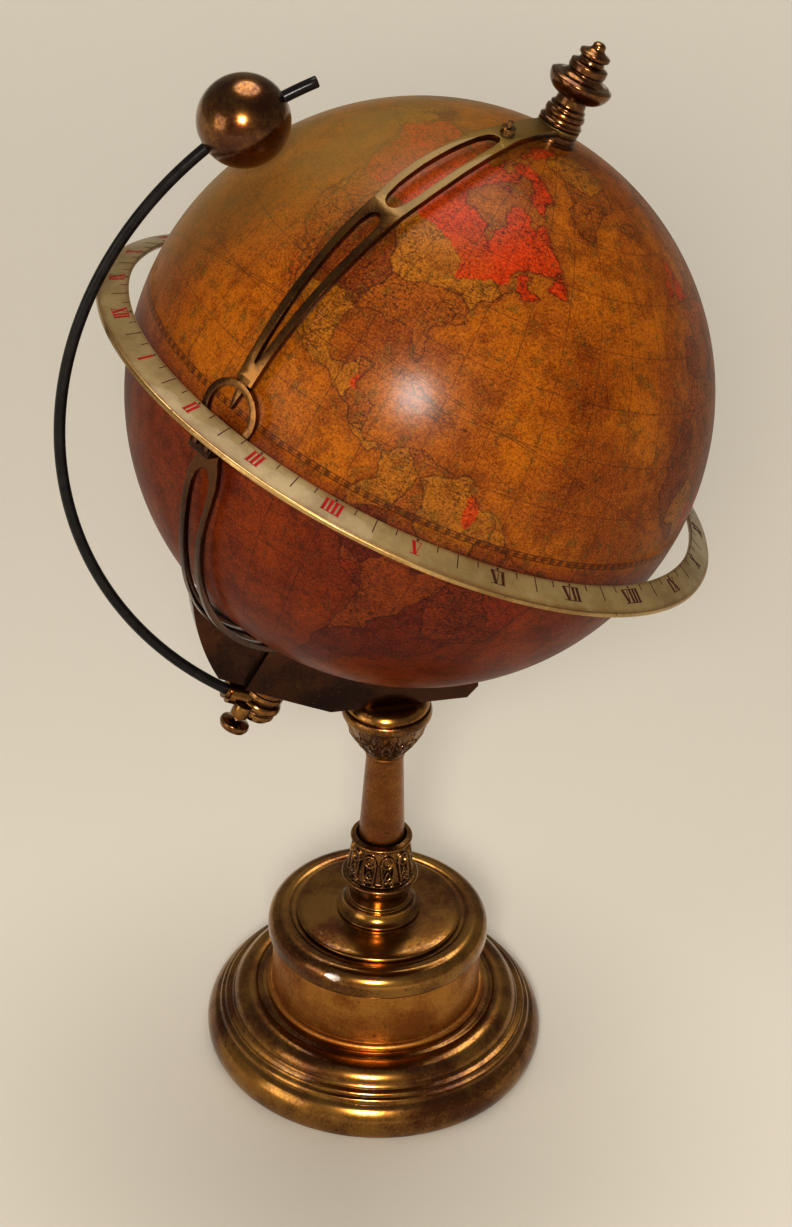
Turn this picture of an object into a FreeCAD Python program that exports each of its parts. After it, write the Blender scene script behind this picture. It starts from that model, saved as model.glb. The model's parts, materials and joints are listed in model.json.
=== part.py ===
import FreeCAD, Part
import math
import os

# Desktop globe clock on a turned brass stand.
# Millimetres, +Z up. The origin is on the column's axis, on the plane that the foot rests on.
# The polar axis leans towards +X in the XZ plane.
# Parts on the polar axis are made in a polar frame, with the globe's centre as origin, +Z through
# the north pole and +Y kept, and polar() sets them in place.

# Driving dimensions
GLOBE_R = 101.6            # an eight inch globe
SHELL = 2.2                # wall of the globe
TILT = 24.0                # lean of the polar axis, degrees
CENTRE_X = 6.8             # the globe's centre stands a little off the column
CENTRE_Z = 287.7

ARM_IN = 104.6             # inner and outer radius of the meridian arm
ARM_OUT = 106.9
ARM_AZIMUTH = 215.5        # where the arm stands round the polar axis, degrees
LOOP_R = 11.0              # loop of the arm at the equator
LOOP_HOLE_R = 8.6
ARM_BOSS_R = 7.4           # round end of the arm on the north post
ARM_COLLAR_R = 7.5         # clearance for the post's collar
SCREW_LATITUDE = 74.5      # small screw near the top of the arm
ARM_STEP = 2.5             # longest flat length of the arm's bend, degrees

RING_IN = 107.1            # chapter ring, a flat cone that falls outwards
RING_OUT = 116.7
RING_TOP = -3.3
RING_EDGE = -7.9
RING_THICK = 1.5
FACE_THICK = 0.25
FACE_MARGIN = 0.5

POST_R = 5.0               # fixed polar posts
RUN = 0.05                 # radial running clearance
PIVOT_R = 3.5              # lower end of the south post, which the sun arm turns on
WIND_R = 2.62              # winding arbor
WIND_BORE_R = 2.70
THRUST = 102.6             # where the thrust collars stand, outside the poles
NUT_R = 5.9
NUT_H = 2.3

SADDLE_HORN = 5.0          # half widths of the saddle's horn and of its block
SADDLE_BLOCK = 8.0
SADDLE_FACE = 127.0        # the saddle's south face, along the polar axis
SADDLE_FOOT = 162.2        # height of the column's top

SUN_R = 132.9              # radius of the sun rod's arc
SUN_X = 9.72               # the arc's centre in the polar frame
SUN_Z = -2.4
SUN_START = -82.5          # ends of the rod on its arc, and the ball's place, degrees
SUN_TIP = 45.5
SUN_BALL = 33.9
ROD_R = 2.0
BALL_R = 15.4
BALL_WALL = 1.6
LINING_R = 3.4
LINING_BORE_R = 2.06
BOSS_Z = -133.8            # height of the clamp boss, along the polar axis
SCREW_X = -7.4             # the thumbscrew's axis
SCREW_Y = -4.6

TIE_R = 3.0                # tie rod of the stand
TIE_HOLE_R = 3.2

PLATE_R = 44.0             # plates of the movement
PLATE_T = 2.0
SOUTH_PLATE = -32.0        # lower faces of the two plates
NORTH_PLATE = 8.0
LAY_X = 30.0               # layshaft, beside the polar axis
ESCAPE_STEP = 20.0         # escape arbor, from the layshaft
ESCAPE_TURN = 120.0
GLOBE_TEETH = 48
DRIVE_TEETH = 12
GREAT_TEETH = 60
LAY_TEETH = 15
THIRD_TEETH = 40
ESCAPE_TEETH = 10
DRIVE_MODULE = 1.0
TRAIN_MODULE = 0.8

TURN = 360.0
UP = FreeCAD.Vector(0, 0, 1)
ORIGIN = FreeCAD.Vector(0, 0, 0)
CENTRE = FreeCAD.Vector(CENTRE_X, 0, CENTRE_Z)


def vec(x, y, z):
    return FreeCAD.Vector(x, y, z)


def on_circle(radius, degrees, z=0.0):
    angle = math.radians(degrees)
    return vec(radius * math.cos(angle), radius * math.sin(angle), z)


def outline(points):
    """Closed wire in the XZ plane. A point with four numbers ends an arc through its last two."""
    edges = []
    for start, end in zip(points, points[1:] + points[:1]):
        first = vec(start[0], 0, start[1])
        last = vec(end[0], 0, end[1])
        if len(end) == 4:
            edges.append(Part.Arc(first, vec(end[2], 0, end[3]), last).toShape())
        else:
            edges.append(Part.makeLine(first, last))
    return Part.Wire(edges)


def turned(points):
    """Solid of revolution about Z from a closed (radius, height) outline."""
    return Part.Face(outline(points)).revolve(ORIGIN, UP, TURN)


def slab(points, half_width):
    """Plate of the given outline, as wide on each side of the XZ plane."""
    face = Part.Face(outline(points))
    face.translate(vec(0, -half_width, 0))
    return face.extrude(vec(0, 2 * half_width, 0))


def rod(radius, low, high, x=0.0, y=0.0):
    return Part.makeCylinder(radius, high - low, vec(x, y, low))


def tube(inner, outer, low, high, x=0.0, y=0.0):
    return rod(outer, low, high, x, y).cut(rod(inner, low - 1, high + 1, x, y))


def hexagon(across_flats, low, high, hole):
    corner = across_flats / math.sqrt(3)
    points = [on_circle(corner, 60 * step, low) for step in range(7)]
    nut = Part.Face(Part.makePolygon(points)).extrude(vec(0, 0, high - low))
    return nut.cut(rod(hole, low - 1, high + 1))


def polar(shape):
    """Moves a shape from the polar frame to the row frame."""
    placed = shape.copy()
    placed.rotate(ORIGIN, vec(0, 1, 0), TILT)
    placed.translate(CENTRE)
    return placed


def from_saddle(radius, degrees):
    """Point in the XZ plane, at an angle from straight below the globe's centre, towards -X."""
    angle = math.radians(degrees)
    return (CENTRE_X - radius * math.sin(angle), CENTRE_Z - radius * math.cos(angle))


# Stand

def base_plinth():
    return turned([
        (64.6, 0.6), (62.4, 13.4, 65.8, 6.6), (61.2, 14.0), (60.4, 16.0, 60.9, 15.2), (59.2, 16.4),
        (58.4, 17.8, 58.9, 17.3), (56.6, 18.0), (55.6, 19.4, 56.1, 18.9), (46.8, 24.2, 52.6, 23.4),
        (46.0, 23.6), (44.4, 24.4), (TIE_HOLE_R, 24.4), (TIE_HOLE_R, 22.0), (43.0, 22.0), (52.0, 20.0),
        (57.0, 14.8), (60.0, 11.0), (62.4, 6.6), (61.8, 0.6)])


def base_ballast():
    return turned([
        (TIE_HOLE_R, 10.0), (12.0, 10.0), (12.0, 2.5), (57.0, 2.5), (57.0, 9.0), (50.0, 18.0),
        (42.0, 22.0), (TIE_HOLE_R, 22.0)])


def base_felt():
    return rod(56.0, 0.0, 2.5)


def base_drum():
    return turned([(38.4, 24.4), (42.6, 24.4), (40.6, 27.0, 42.3, 26.4), (40.6, 50.0), (38.4, 50.0)])


def base_cap():
    return turned([
        (TIE_HOLE_R, 59.4), (33.6, 59.4), (36.0, 60.0, 34.8, 59.9), (42.5, 54.0, 40.9, 58.4), (42.6, 51.4),
        (42.1, 50.6), (39.8, 50.6), (39.8, 50.0), (38.6, 50.0), (38.6, 53.6), (35.4, 57.2, 37.6, 56.3),
        (TIE_HOLE_R, 57.2)])


def cap_disc():
    return turned([
        (TIE_HOLE_R, 59.4), (31.2, 59.4), (31.0, 61.3, 31.8, 60.4), (28.6, 61.7), (TIE_HOLE_R, 61.9)])


def foot_collar():
    return turned([
        (TIE_HOLE_R, 61.9), (16.0, 61.9), (16.1, 62.9), (14.6, 63.6), (12.6, 67.4, 13.2, 65.2), (12.8, 68.2),
        (11.7, 68.8), (11.7, 70.2), (13.4, 77.0, 12.0, 74.0), (13.4, 77.6), (TIE_HOLE_R, 77.6)])


def scroll_band():
    return turned([
        (TIE_HOLE_R, 77.6), (14.0, 77.6), (14.0, 79.6, 14.7, 78.6), (12.9, 80.0), (10.9, 95.2), (11.2, 95.6),
        (11.1, 97.2, 11.8, 96.4), (9.7, 97.6), (9.4, 90.0), (TIE_HOLE_R, 90.0)])


def column_shaft():
    return turned([
        (TIE_HOLE_R, 90.0), (9.1, 90.0), (7.0, 134.8), (7.4, 135.2), (7.4, 136.4), (TIE_HOLE_R, 136.4)])


def leaf_cup():
    return turned([
        (TIE_HOLE_R, 136.4), (7.3, 136.4), (7.8, 138.0), (16.4, 153.4, 12.8, 144.8),
        (16.1, 157.4, 16.9, 155.6),
        (TIE_HOLE_R, 157.4)])


def cup_dome():
    return turned([
        (TIE_HOLE_R, 157.4), (15.4, 157.4), (15.8, 158.4), (11.0, SADDLE_FOOT, 14.1, 161.0),
        (TIE_HOLE_R, SADDLE_FOOT)])


def tie_rod():
    return rod(TIE_R, 3.2, 170.0)


def tie_washer():
    return tube(TIE_HOLE_R, 9.0, 8.6, 10.0)


def tie_nut():
    return hexagon(10.0, 4.2, 8.6, TIE_R)


def saddle():
    """Cradle from the column to the south pole: a broad block with a narrower horn running up."""
    slope = math.radians(TILT)
    right = CENTRE_X + 25.4
    rise = math.sqrt(ARM_OUT ** 2 - (right - CENTRE_X) ** 2)
    inner_mid = from_saddle(ARM_OUT, 10)
    horn_foot = from_saddle(SADDLE_FACE / math.cos(math.radians(33.5 - TILT)), 33.5)
    pole_end = from_saddle(SADDLE_FACE / math.cos(math.radians(TILT - 19.0)), 19.0)
    tip_in = from_saddle(ARM_OUT, 47)
    tip_out = from_saddle(109.8, 47)
    bulge = from_saddle(119.4, 40.5)
    whole = slab([
        tip_in + inner_mid, tip_out, horn_foot + bulge, pole_end, (CENTRE_X - 30.0, SADDLE_FOOT),
        (CENTRE_X + 21.4, SADDLE_FOOT), (right, SADDLE_FOOT + 4.6), (right, CENTRE_Z - rise)], SADDLE_BLOCK)
    # the horn loses its outer skins beyond the block's end face
    end = from_saddle(SADDLE_FACE, 29.0)
    far = 60.0
    skin = SADDLE_BLOCK - SADDLE_HORN
    for side in (-SADDLE_BLOCK - 1, SADDLE_HORN):
        cutter = Part.makeBox(far, skin + 1, far, vec(-far, 0, -8))
        cutter.rotate(ORIGIN, vec(0, 1, 0), 29.0)
        cutter.translate(vec(end[0], side, end[1]))
        whole = whole.cut(cutter)
    axis = vec(math.sin(slope), 0, math.cos(slope))
    low = CENTRE - axis * (SADDLE_FACE + 5)
    whole = whole.cut(Part.makeCylinder(POST_R + 0.1, 40, low, axis))
    whole = whole.cut(Part.makeCylinder(9.6, 9, CENTRE - axis * (ARM_OUT + 0.1), axis))
    return whole.cut(rod(TIE_R + 0.1, SADDLE_FOOT - 1, 170.2))


# Meridian arm, in the polar frame

def arm_point(latitude, offset, radius):
    """Point at a latitude on the arm's meridian, moved sideways along the sphere."""
    north = math.radians(latitude)
    aside = offset / radius
    azimuth = math.radians(ARM_AZIMUTH)
    out = vec(math.cos(azimuth), math.sin(azimuth), 0)
    east = vec(-math.sin(azimuth), math.cos(azimuth), 0)
    forward = out * math.cos(north) + UP * math.sin(north)
    return forward * (radius * math.cos(aside)) + east * (radius * math.sin(aside))


# Stations along the meridian arm: latitude, and half width of the strap or of the opening between its rails
UPPER_STRAP = [
    (88, 4.5), (80, 4.2), (75, 4.6), (71, 5.6), (64, 6.6), (56, 7.1), (50, 6.9), (45, 6.2),
    (40, 6.0), (34, 5.6), (22, 4.7), (12, 3.7), (6, 3.3)]
UPPER_SLOT = [
    (72.2, 0.4), (71.9, 1.4), (71, 2.4), (69, 3.2), (64, 3.9), (56, 4.4), (50, 4.2), (47, 3.5),
    (45.9, 2.6), (45.4, 1.4), (45.2, 0.4)]
MIDDLE_SLOT = [
    (43.2, 0.4), (42.9, 1.6), (42, 2.6), (40, 3.2), (34, 2.9), (22, 1.9), (12, 0.9), (10, 0.4)]
POINTER = [(7, 2.2), (5, 1.5), (0.8, 0.35)]
LOWER_STRAP = [
    (-6.2, 3.3), (-9, 3.8), (-11, 5.2), (-14, 6.4), (-18, 6.3), (-26, 5.2), (-36, 4.6), (-50, 4.5),
    (-64, 4.9), (-79, 5.7), (-88, 6.5)]
LOWER_SLOT = [
    (-11.8, 0.4), (-12.2, 1.8), (-13.5, 3.2), (-16, 4.0), (-20, 3.8), (-26, 3.1), (-36, 2.5), (-50, 2.4),
    (-64, 2.7), (-75, 2.6), (-77, 1.8), (-77.8, 0.4)]


def closer(stations):
    """The same outline with its stations at most ARM_STEP degrees apart."""
    result = stations[:1]
    for (start, first), (end, last) in zip(stations, stations[1:]):
        steps = math.ceil(abs(end - start) / ARM_STEP)
        for step in range(1, steps + 1):
            share = step / steps
            result.append((start + (end - start) * share, first + (last - first) * share))
    return result


def strap(stations, low=ARM_IN, high=ARM_OUT):
    """Bar along the sphere through stations of latitude and half width."""
    sections = []
    for latitude, half in closer(stations):
        corners = [arm_point(latitude, -half, low), arm_point(latitude, half, low),
                   arm_point(latitude, half, high), arm_point(latitude, -half, high)]
        sections.append(Part.makePolygon(corners + corners[:1]))
    return Part.makeLoft(sections, True, True)


def arm_slot(stations):
    """Cutter for an opening between the rails."""
    return strap(stations, ARM_IN - 3, ARM_OUT + 3)


def standing_out(radius, low, high):
    """Round bar of the arm's screw, pointing outwards."""
    foot = arm_point(SCREW_LATITUDE, 0, low)
    return Part.makeCylinder(radius, high - low, foot, foot)


def arm_loop():
    """Flat loop round the equator's crossing, with a pointer inside it."""
    azimuth = math.radians(ARM_AZIMUTH)
    out = vec(math.cos(azimuth), math.sin(azimuth), 0)
    foot = out * ARM_IN
    loop = Part.makeCylinder(LOOP_R, ARM_OUT - ARM_IN, foot, out)
    loop = loop.cut(Part.makeCylinder(LOOP_HOLE_R, 9, foot - out * 3, out))
    return loop.fuse(strap(POINTER))


def meridian_arm_upper():
    """Slotted arm from the north post down to the loop, with a screw near its top."""
    arm = strap(UPPER_STRAP).cut(arm_slot(UPPER_SLOT)).cut(arm_slot(MIDDLE_SLOT))
    head = standing_out(2.4, ARM_OUT - 0.5, ARM_OUT + 2.2)
    stem = standing_out(0.9, ARM_OUT, ARM_OUT + 4.4)
    arm = arm.fuse([arm_loop(), head, stem, rod(ARM_BOSS_R, ARM_IN, ARM_OUT)])
    arm = arm.cut(tube(RING_IN - 0.05, RING_OUT, -20, 20))
    arm = arm.cut(rod(ARM_COLLAR_R, ARM_IN - 5, ARM_IN))
    return arm.cut(rod(POST_R + 0.1, ARM_IN - 5, ARM_OUT + 5)).removeSplitter()


def meridian_arm_lower():
    """Slotted arm from the south post up to the ring's underside."""
    arm = strap(LOWER_STRAP).cut(arm_slot(LOWER_SLOT))
    arm = arm.fuse(rod(9.0, -ARM_OUT, -ARM_IN))
    arm = arm.cut(rod(ARM_COLLAR_R, -ARM_IN, -ARM_IN + 5))
    return arm.cut(rod(POST_R + 0.1, -ARM_OUT - 5, -ARM_IN + 5)).removeSplitter()


# Chapter ring, in the polar frame

def ring_height(radius):
    """Height of the ring's sloping top."""
    return RING_TOP + (radius - RING_IN) * (RING_EDGE - RING_TOP) / (RING_OUT - RING_IN)


def sloping(inner, outer, low, high):
    """Ring between two radii that follows the slope, from low to high above it."""
    return turned([(inner, ring_height(inner) + low), (outer, ring_height(outer) + low),
                   (outer, ring_height(outer) + high), (inner, ring_height(inner) + high)])


def chapter_ring():
    return sloping(RING_IN, RING_OUT, -RING_THICK, 0.0)


def ring_face():
    return sloping(RING_IN + FACE_MARGIN, RING_OUT - FACE_MARGIN, 0.0, FACE_THICK)


def ring_bracket():
    """Angle block under the ring, screwed to the arm."""
    block = Part.makeBox(6.0, 9.0, 9.0, vec(ARM_OUT + 0.1, -4.5, -14.6))
    above = turned([(RING_IN - 9, ring_height(RING_IN - 9) - RING_THICK),
                    (RING_OUT, ring_height(RING_OUT) - RING_THICK), (RING_OUT, 9), (RING_IN - 9, 9)])
    block = block.cut(above)
    block.rotate(ORIGIN, UP, ARM_AZIMUTH)
    return block


def bracket_screws():
    screws = []
    for side in (-2.6, 2.6):
        screw = Part.makeCylinder(1.5, 1.1, vec(ARM_OUT + 6.1, side, -11.6), vec(1, 0, 0))
        screw.rotate(ORIGIN, UP, ARM_AZIMUTH)
        screws.append(screw)
    return Part.makeCompound(screws)


# Fixed polar posts and the movement's frame, in the polar frame

def south_post():
    """Solid post from the sun arm's pivot up to the movement, with two collars."""
    return turned([
        (0, -139.8), (2.4, -139.8), (2.4, -137.6), (PIVOT_R, -137.6), (PIVOT_R, -SADDLE_FACE - NUT_H),
        (POST_R - 0.6, -SADDLE_FACE - NUT_H), (POST_R - 0.6, -SADDLE_FACE), (POST_R, -SADDLE_FACE),
        (POST_R, -ARM_IN), (7.4, -ARM_IN), (7.4, -THRUST), (POST_R, -THRUST), (POST_R, SOUTH_PLATE - 2),
        (9.0, SOUTH_PLATE - 2), (9.0, SOUTH_PLATE), (0, SOUTH_PLATE)])


def south_nut():
    return tube(POST_R - 0.6, 7.0, -SADDLE_FACE - NUT_H, -SADDLE_FACE)


def north_tube():
    """Hollow post from the movement up through the north pole."""
    top = NORTH_PLATE + PLATE_T
    return turned([
        (WIND_BORE_R, top), (9.0, top), (9.0, top + 2), (POST_R, top + 2), (POST_R, THRUST), (7.4, THRUST),
        (7.4, ARM_IN), (POST_R, ARM_IN), (POST_R, ARM_OUT), (POST_R - 0.6, ARM_OUT),
        (POST_R - 0.6, ARM_OUT + NUT_H + 0.4), (WIND_BORE_R, ARM_OUT + NUT_H + 0.4)])


def north_nut():
    return tube(POST_R - 0.6, NUT_R, ARM_OUT, ARM_OUT + NUT_H)


def lay_place():
    return vec(LAY_X, 0, 0)


def escape_place():
    return lay_place() + on_circle(ESCAPE_STEP, ESCAPE_TURN)


def lever_place():
    return escape_place() + on_circle(12.4, 60.0)


def balance_place():
    return vec(-20.0, 14.0, 0)


def movement_plate(low):
    plate = rod(PLATE_R, low, low + PLATE_T)
    plate = plate.cut(rod(WIND_BORE_R, low - 1, low + PLATE_T + 1))
    for place, radius in ((lay_place(), 1.56), (escape_place(), 1.06), (lever_place(), 1.06)):
        plate = plate.cut(rod(radius, low - 1, low + PLATE_T + 1, place.x, place.y))
    return plate


def movement_plate_south():
    return movement_plate(SOUTH_PLATE)


def movement_plate_north():
    return movement_plate(NORTH_PLATE)


def pillar_places():
    return [on_circle(39.0, angle) for angle in (100, 170, 240, 310)]


def movement_pillars():
    low = SOUTH_PLATE + PLATE_T
    return Part.makeCompound([rod(3.0, low, NORTH_PLATE, place.x, place.y) for place in pillar_places()])


def pillar_screws():
    screws = []
    for place in pillar_places():
        for low in (SOUTH_PLATE - 1.4, NORTH_PLATE + PLATE_T):
            screws.append(rod(2.6, low, low + 1.4, place.x, place.y))
    return Part.makeCompound(screws)


# Toothed wheels, in the polar frame

def gear(teeth, module, low, high, bore, phase):
    """Slim-toothed wheel with a tooth's middle at the phase angle."""
    pitch = teeth * module / 2
    step = TURN / teeth
    shape = [(pitch - 1.15 * module, -0.28), (pitch, -0.19), (pitch + 0.8 * module, -0.09),
             (pitch + 0.8 * module, 0.09), (pitch, 0.19), (pitch - 1.15 * module, 0.28)]
    points = []
    for tooth in range(teeth):
        for radius, share in shape:
            points.append(on_circle(radius, phase + (tooth + share) * step, low))
    face = Part.Face(Part.makePolygon(points + points[:1]))
    return face.extrude(vec(0, 0, high - low)).cut(rod(bore, low - 1, high + 1))


def crossed(wheel, inner, outer, low, high):
    """Wheel opened between hub and rim, leaving four spokes."""
    window = tube(inner, outer, low - 1, high + 1)
    for angle in (0, 90):
        bar = Part.makeBox(2 * outer + 2, 3.0, high - low + 4, vec(-outer - 1, -1.5, low - 2))
        bar.rotate(ORIGIN, UP, angle + 45)
        window = window.cut(bar)
    return wheel.cut(window)


def meshed(teeth, direction):
    """Phase that puts a gap of the mating wheel against a tooth at this direction."""
    return direction + TURN / 2 + TURN / 2 / teeth


# Globe, in the polar frame

def globe_shell(side):
    inner = GLOBE_R - SHELL
    hole = 8.0
    half = math.sqrt(0.5)
    points = [(GLOBE_R, 0), (hole, math.sqrt(GLOBE_R ** 2 - hole ** 2), GLOBE_R * half, GLOBE_R * half),
              (hole, math.sqrt(inner ** 2 - hole ** 2)), (inner, 0, inner * half, inner * half)]
    shell = turned(points)
    if side < 0:
        shell.rotate(ORIGIN, vec(1, 0, 0), TURN / 2)
    return shell


def globe_shell_north():
    return globe_shell(1)


def globe_shell_south():
    return globe_shell(-1)


def equator_strip():
    return tube(97.6, 99.0, -8.0, 8.0)


def pole_bush_north():
    return turned([(POST_R + RUN, 96.8), (10.0, 96.8), (10.0, 98.8), (8.0, 98.8), (8.0, THRUST - RUN),
                   (POST_R + RUN, THRUST - RUN)])


def pole_bush_south():
    bush = pole_bush_north()
    bush.rotate(ORIGIN, vec(1, 0, 0), TURN / 2)
    return bush


def drive_sleeve():
    return tube(POST_R + 0.3, 6.6, -96.8, -38.0)


def globe_wheel():
    wheel = gear(GLOBE_TEETH, DRIVE_MODULE, -40.0, -36.5, 6.6, 0)
    return crossed(wheel, 10.0, 20.0, -40.0, -36.5)


# Movement's turning parts, in the polar frame

def barrel_drum():
    wheel = gear(GREAT_TEETH, TRAIN_MODULE, -27.0, -24.5, WIND_BORE_R, 0)
    case = turned([(WIND_BORE_R, -24.5), (21.0, -24.5), (21.0, -7.0), (19.6, -7.0), (19.6, -23.0),
                   (WIND_BORE_R, -23.0)])
    return wheel.fuse(case).removeSplitter()


def barrel_cover():
    return tube(WIND_BORE_R, 21.0, -7.0, -5.8)


def mainspring():
    """Coiled strip made of half circles about two centres, half a coil's pitch apart."""
    coils = 7
    pitch = 2.2
    strip = 0.5
    first = 3.0
    inner = []
    outer = []
    for coil in range(coils):
        radius = first + coil * pitch
        inner += half_turns(radius, pitch)
        outer += half_turns(radius + strip, pitch)
    last = first + coils * pitch
    ends = [Part.makeLine(vec(first, 0, 0), vec(first + strip, 0, 0)),
            Part.makeLine(vec(last, 0, 0), vec(last + strip, 0, 0))]
    edges = Part.sortEdges(inner + outer + ends)[0]
    spring = Part.Face(Part.Wire(edges)).extrude(vec(0, 0, 14.0))
    spring.translate(vec(0, 0, -22.4))
    return spring


def half_turns(radius, pitch):
    """One coil: an upper half circle about the origin, then a wider lower one."""
    upper = Part.Arc(vec(radius, 0, 0), vec(0, radius, 0), vec(-radius, 0, 0)).toShape()
    wide = radius + pitch / 2
    lower = Part.Arc(vec(-radius, 0, 0), vec(pitch / 2, -wide, 0), vec(radius + pitch, 0, 0)).toShape()
    return [upper, lower]


def winding_arbor():
    return rod(WIND_R, SOUTH_PLATE + 0.2, 116.0)


def layshaft_arbor():
    return rod(1.5, -43.0, NORTH_PLATE + PLATE_T, LAY_X)


def drive_pinion():
    pinion = gear(DRIVE_TEETH, DRIVE_MODULE, -41.0, -35.5, 1.5, meshed(DRIVE_TEETH, 0))
    pinion.translate(lay_place())
    return pinion


def lay_pinion():
    pinion = gear(LAY_TEETH, TRAIN_MODULE, -28.0, -23.5, 1.5, meshed(LAY_TEETH, 0))
    pinion.translate(lay_place())
    return pinion


def third_wheel():
    wheel = gear(THIRD_TEETH, TRAIN_MODULE, -2.0, -0.5, 1.5, ESCAPE_TURN)
    wheel = crossed(wheel, 4.0, 13.0, -2.0, -0.5)
    wheel.translate(lay_place())
    return wheel


def escape_arbor():
    place = escape_place()
    return rod(1.0, SOUTH_PLATE, NORTH_PLATE + PLATE_T, place.x, place.y)


def escape_pinion():
    pinion = gear(ESCAPE_TEETH, TRAIN_MODULE, -3.0, 0.5, 1.0, meshed(ESCAPE_TEETH, ESCAPE_TURN))
    pinion.translate(escape_place())
    return pinion


def escape_wheel():
    """Fifteen hooked teeth."""
    points = []
    for tooth in range(15):
        points.append(on_circle(7.0, 24 * tooth))
        points.append(on_circle(9.0, 24 * tooth + 3))
        points.append(on_circle(7.2, 24 * tooth + 9))
    wheel = Part.Face(Part.makePolygon(points + points[:1])).extrude(vec(0, 0, 1.2))
    wheel = wheel.cut(rod(1.0, -1, 3))
    wheel.translate(escape_place() + vec(0, 0, 1.5))
    return wheel


def pallet_lever():
    """Bar on its own pivot with two pallets that reach down beside the escape wheel."""
    bar = Part.makeBox(3.0, 16.0, 1.2, vec(-1.5, -8.0, 3.6))
    pallets = [Part.makeBox(4.2, 1.4, 3.3, vec(-4.7, side - 0.7, 1.5)) for side in (-7.0, 7.0)]
    pivot = rod(1.0, SOUTH_PLATE, NORTH_PLATE + PLATE_T)
    lever = bar.fuse(pallets + [pivot])
    lever.rotate(ORIGIN, UP, 60.0)
    lever.translate(lever_place())
    return lever


def balance_platform():
    place = balance_place()
    top = NORTH_PLATE + PLATE_T
    plate = rod(12.0, top, top + 1.5, place.x, place.y)
    return plate.cut(rod(0.7, top - 1, top + 3, place.x, place.y))


def balance_cock():
    place = balance_place()
    top = NORTH_PLATE + PLATE_T + 1.5
    foot = rod(2.2, top, top + 8.0, place.x, place.y + 9.6)
    arm = Part.makeBox(4.4, 14.0, 1.6, vec(place.x - 2.2, place.y - 2.2, top + 8.0))
    return foot.fuse(arm).cut(rod(0.7, top, top + 12, place.x, place.y))


def balance_wheel():
    place = balance_place()
    low = NORTH_PLATE + PLATE_T + 4.5
    rim = tube(5.6, 6.8, low, low + 1.4, place.x, place.y)
    bar = Part.makeBox(12.4, 1.6, 1.0, vec(place.x - 6.2, place.y - 0.8, low))
    staff = rod(0.6, low - 4.4, low + 6.5, place.x, place.y)
    return rim.fuse([bar, staff]).removeSplitter()


def hairspring():
    place = balance_place()
    low = NORTH_PLATE + PLATE_T + 7.0
    rings = [tube(radius, radius + 0.3, low, low + 0.6, place.x, place.y) for radius in (1.4, 2.4, 3.4)]
    spokes = [Part.makeBox(3.4, 0.3, 0.6, vec(place.x + 0.6, place.y - 0.15, low))]
    return rings[0].fuse(rings[1:] + spokes)


# Sun arm, ball, thumbscrew and finial, in the polar frame

def sun_point(degrees):
    """Point on the rod's arc. The rod stands in the XZ plane on the -X side."""
    angle = math.radians(degrees)
    return vec(SUN_X - SUN_R * math.cos(angle), 0, SUN_Z + SUN_R * math.sin(angle))


def along_sun_arc(radius, start, end):
    """Round bar bent along the rod's arc."""
    middle = (start + end) / 2
    path = Part.Wire([Part.Arc(sun_point(start), sun_point(middle), sun_point(end)).toShape()])
    angle = math.radians(start)
    tangent = vec(math.sin(angle), 0, math.cos(angle))
    section = Part.Wire([Part.makeCircle(radius, sun_point(start), tangent)])
    return path.makePipeShell([section], True, True)


def sun_rod():
    return along_sun_arc(ROD_R, SUN_START, SUN_TIP)


def clamp_hub():
    """Turned hub on the south pivot, with a side boss that grips the rod."""
    bore = PIVOT_R + RUN
    hub = turned([
        (bore, -129.6), (7.2, -129.6), (7.3, -131.2), (6.2, -131.8), (6.1, -132.6), (7.5, -133.2),
        (7.5, -136.2, 8.0, -134.7), (6.6, -136.8), (7.1, -137.4), (7.1, -138.6), (5.8, -140.4),
        (5.2, -140.4), (5.2, -137.6), (bore, -137.6)])
    boss = Part.makeCylinder(4.2, 8.2, vec(-5.0, 0, BOSS_Z), vec(-1, 0, 0))
    boss = boss.cut(rod(bore, -150, -120))
    socket = Part.makeCylinder(3.4, 4.6, vec(SCREW_X, SCREW_Y, BOSS_Z - 5.6), UP)
    hub = hub.fuse([boss, socket])
    hub = hub.cut(rod(bore, -150, -120))
    hub = hub.cut(rod(5.2, -145, -137.6))
    hub = hub.cut(rod(1.6 + RUN, -150, BOSS_Z - 1.0, SCREW_X, SCREW_Y))
    return hub.cut(along_sun_arc(ROD_R, SUN_START, -70.0)).removeSplitter()


def rod_ferrule():
    ferrule = Part.makeCylinder(3.4, 1.8, vec(-13.2, 0, BOSS_Z + 0.5), vec(-1, 0, 0.12))
    hub_side = Part.makeBox(4, 20, 20, vec(-13.2, -10, -144))
    return ferrule.cut(along_sun_arc(ROD_R, SUN_START, -70.0)).cut(hub_side)


def pivot_nut():
    return tube(2.4, 4.6, -139.8, -137.7)


def thumbscrew():
    """Screw with a mushroom knob, parallel to the polar axis."""
    screw = turned([
        (0, -134.9), (1.6, -134.9), (1.6, -141.2), (2.4, -141.6), (5.4, -142.4), (5.7, -143.6), (5.0, -145.2),
        (2.8, -145.9), (0, -146.1)])
    screw.translate(vec(SCREW_X, SCREW_Y, 0))
    return screw


def sun_ball():
    shell = Part.makeSphere(BALL_R, sun_point(SUN_BALL))
    shell = shell.cut(Part.makeSphere(BALL_R - BALL_WALL, sun_point(SUN_BALL)))
    return shell.cut(along_sun_arc(LINING_R, SUN_BALL - 10, SUN_BALL + 10))


def ball_lining():
    """Lining tube, inside the ball from wall to wall, that slides on the rod."""
    lining = along_sun_arc(LINING_R, SUN_BALL - 10, SUN_BALL + 10)
    lining = lining.common(Part.makeSphere(BALL_R - 0.2, sun_point(SUN_BALL)))
    return lining.cut(along_sun_arc(LINING_BORE_R, SUN_BALL - 12, SUN_BALL + 12))


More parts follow.
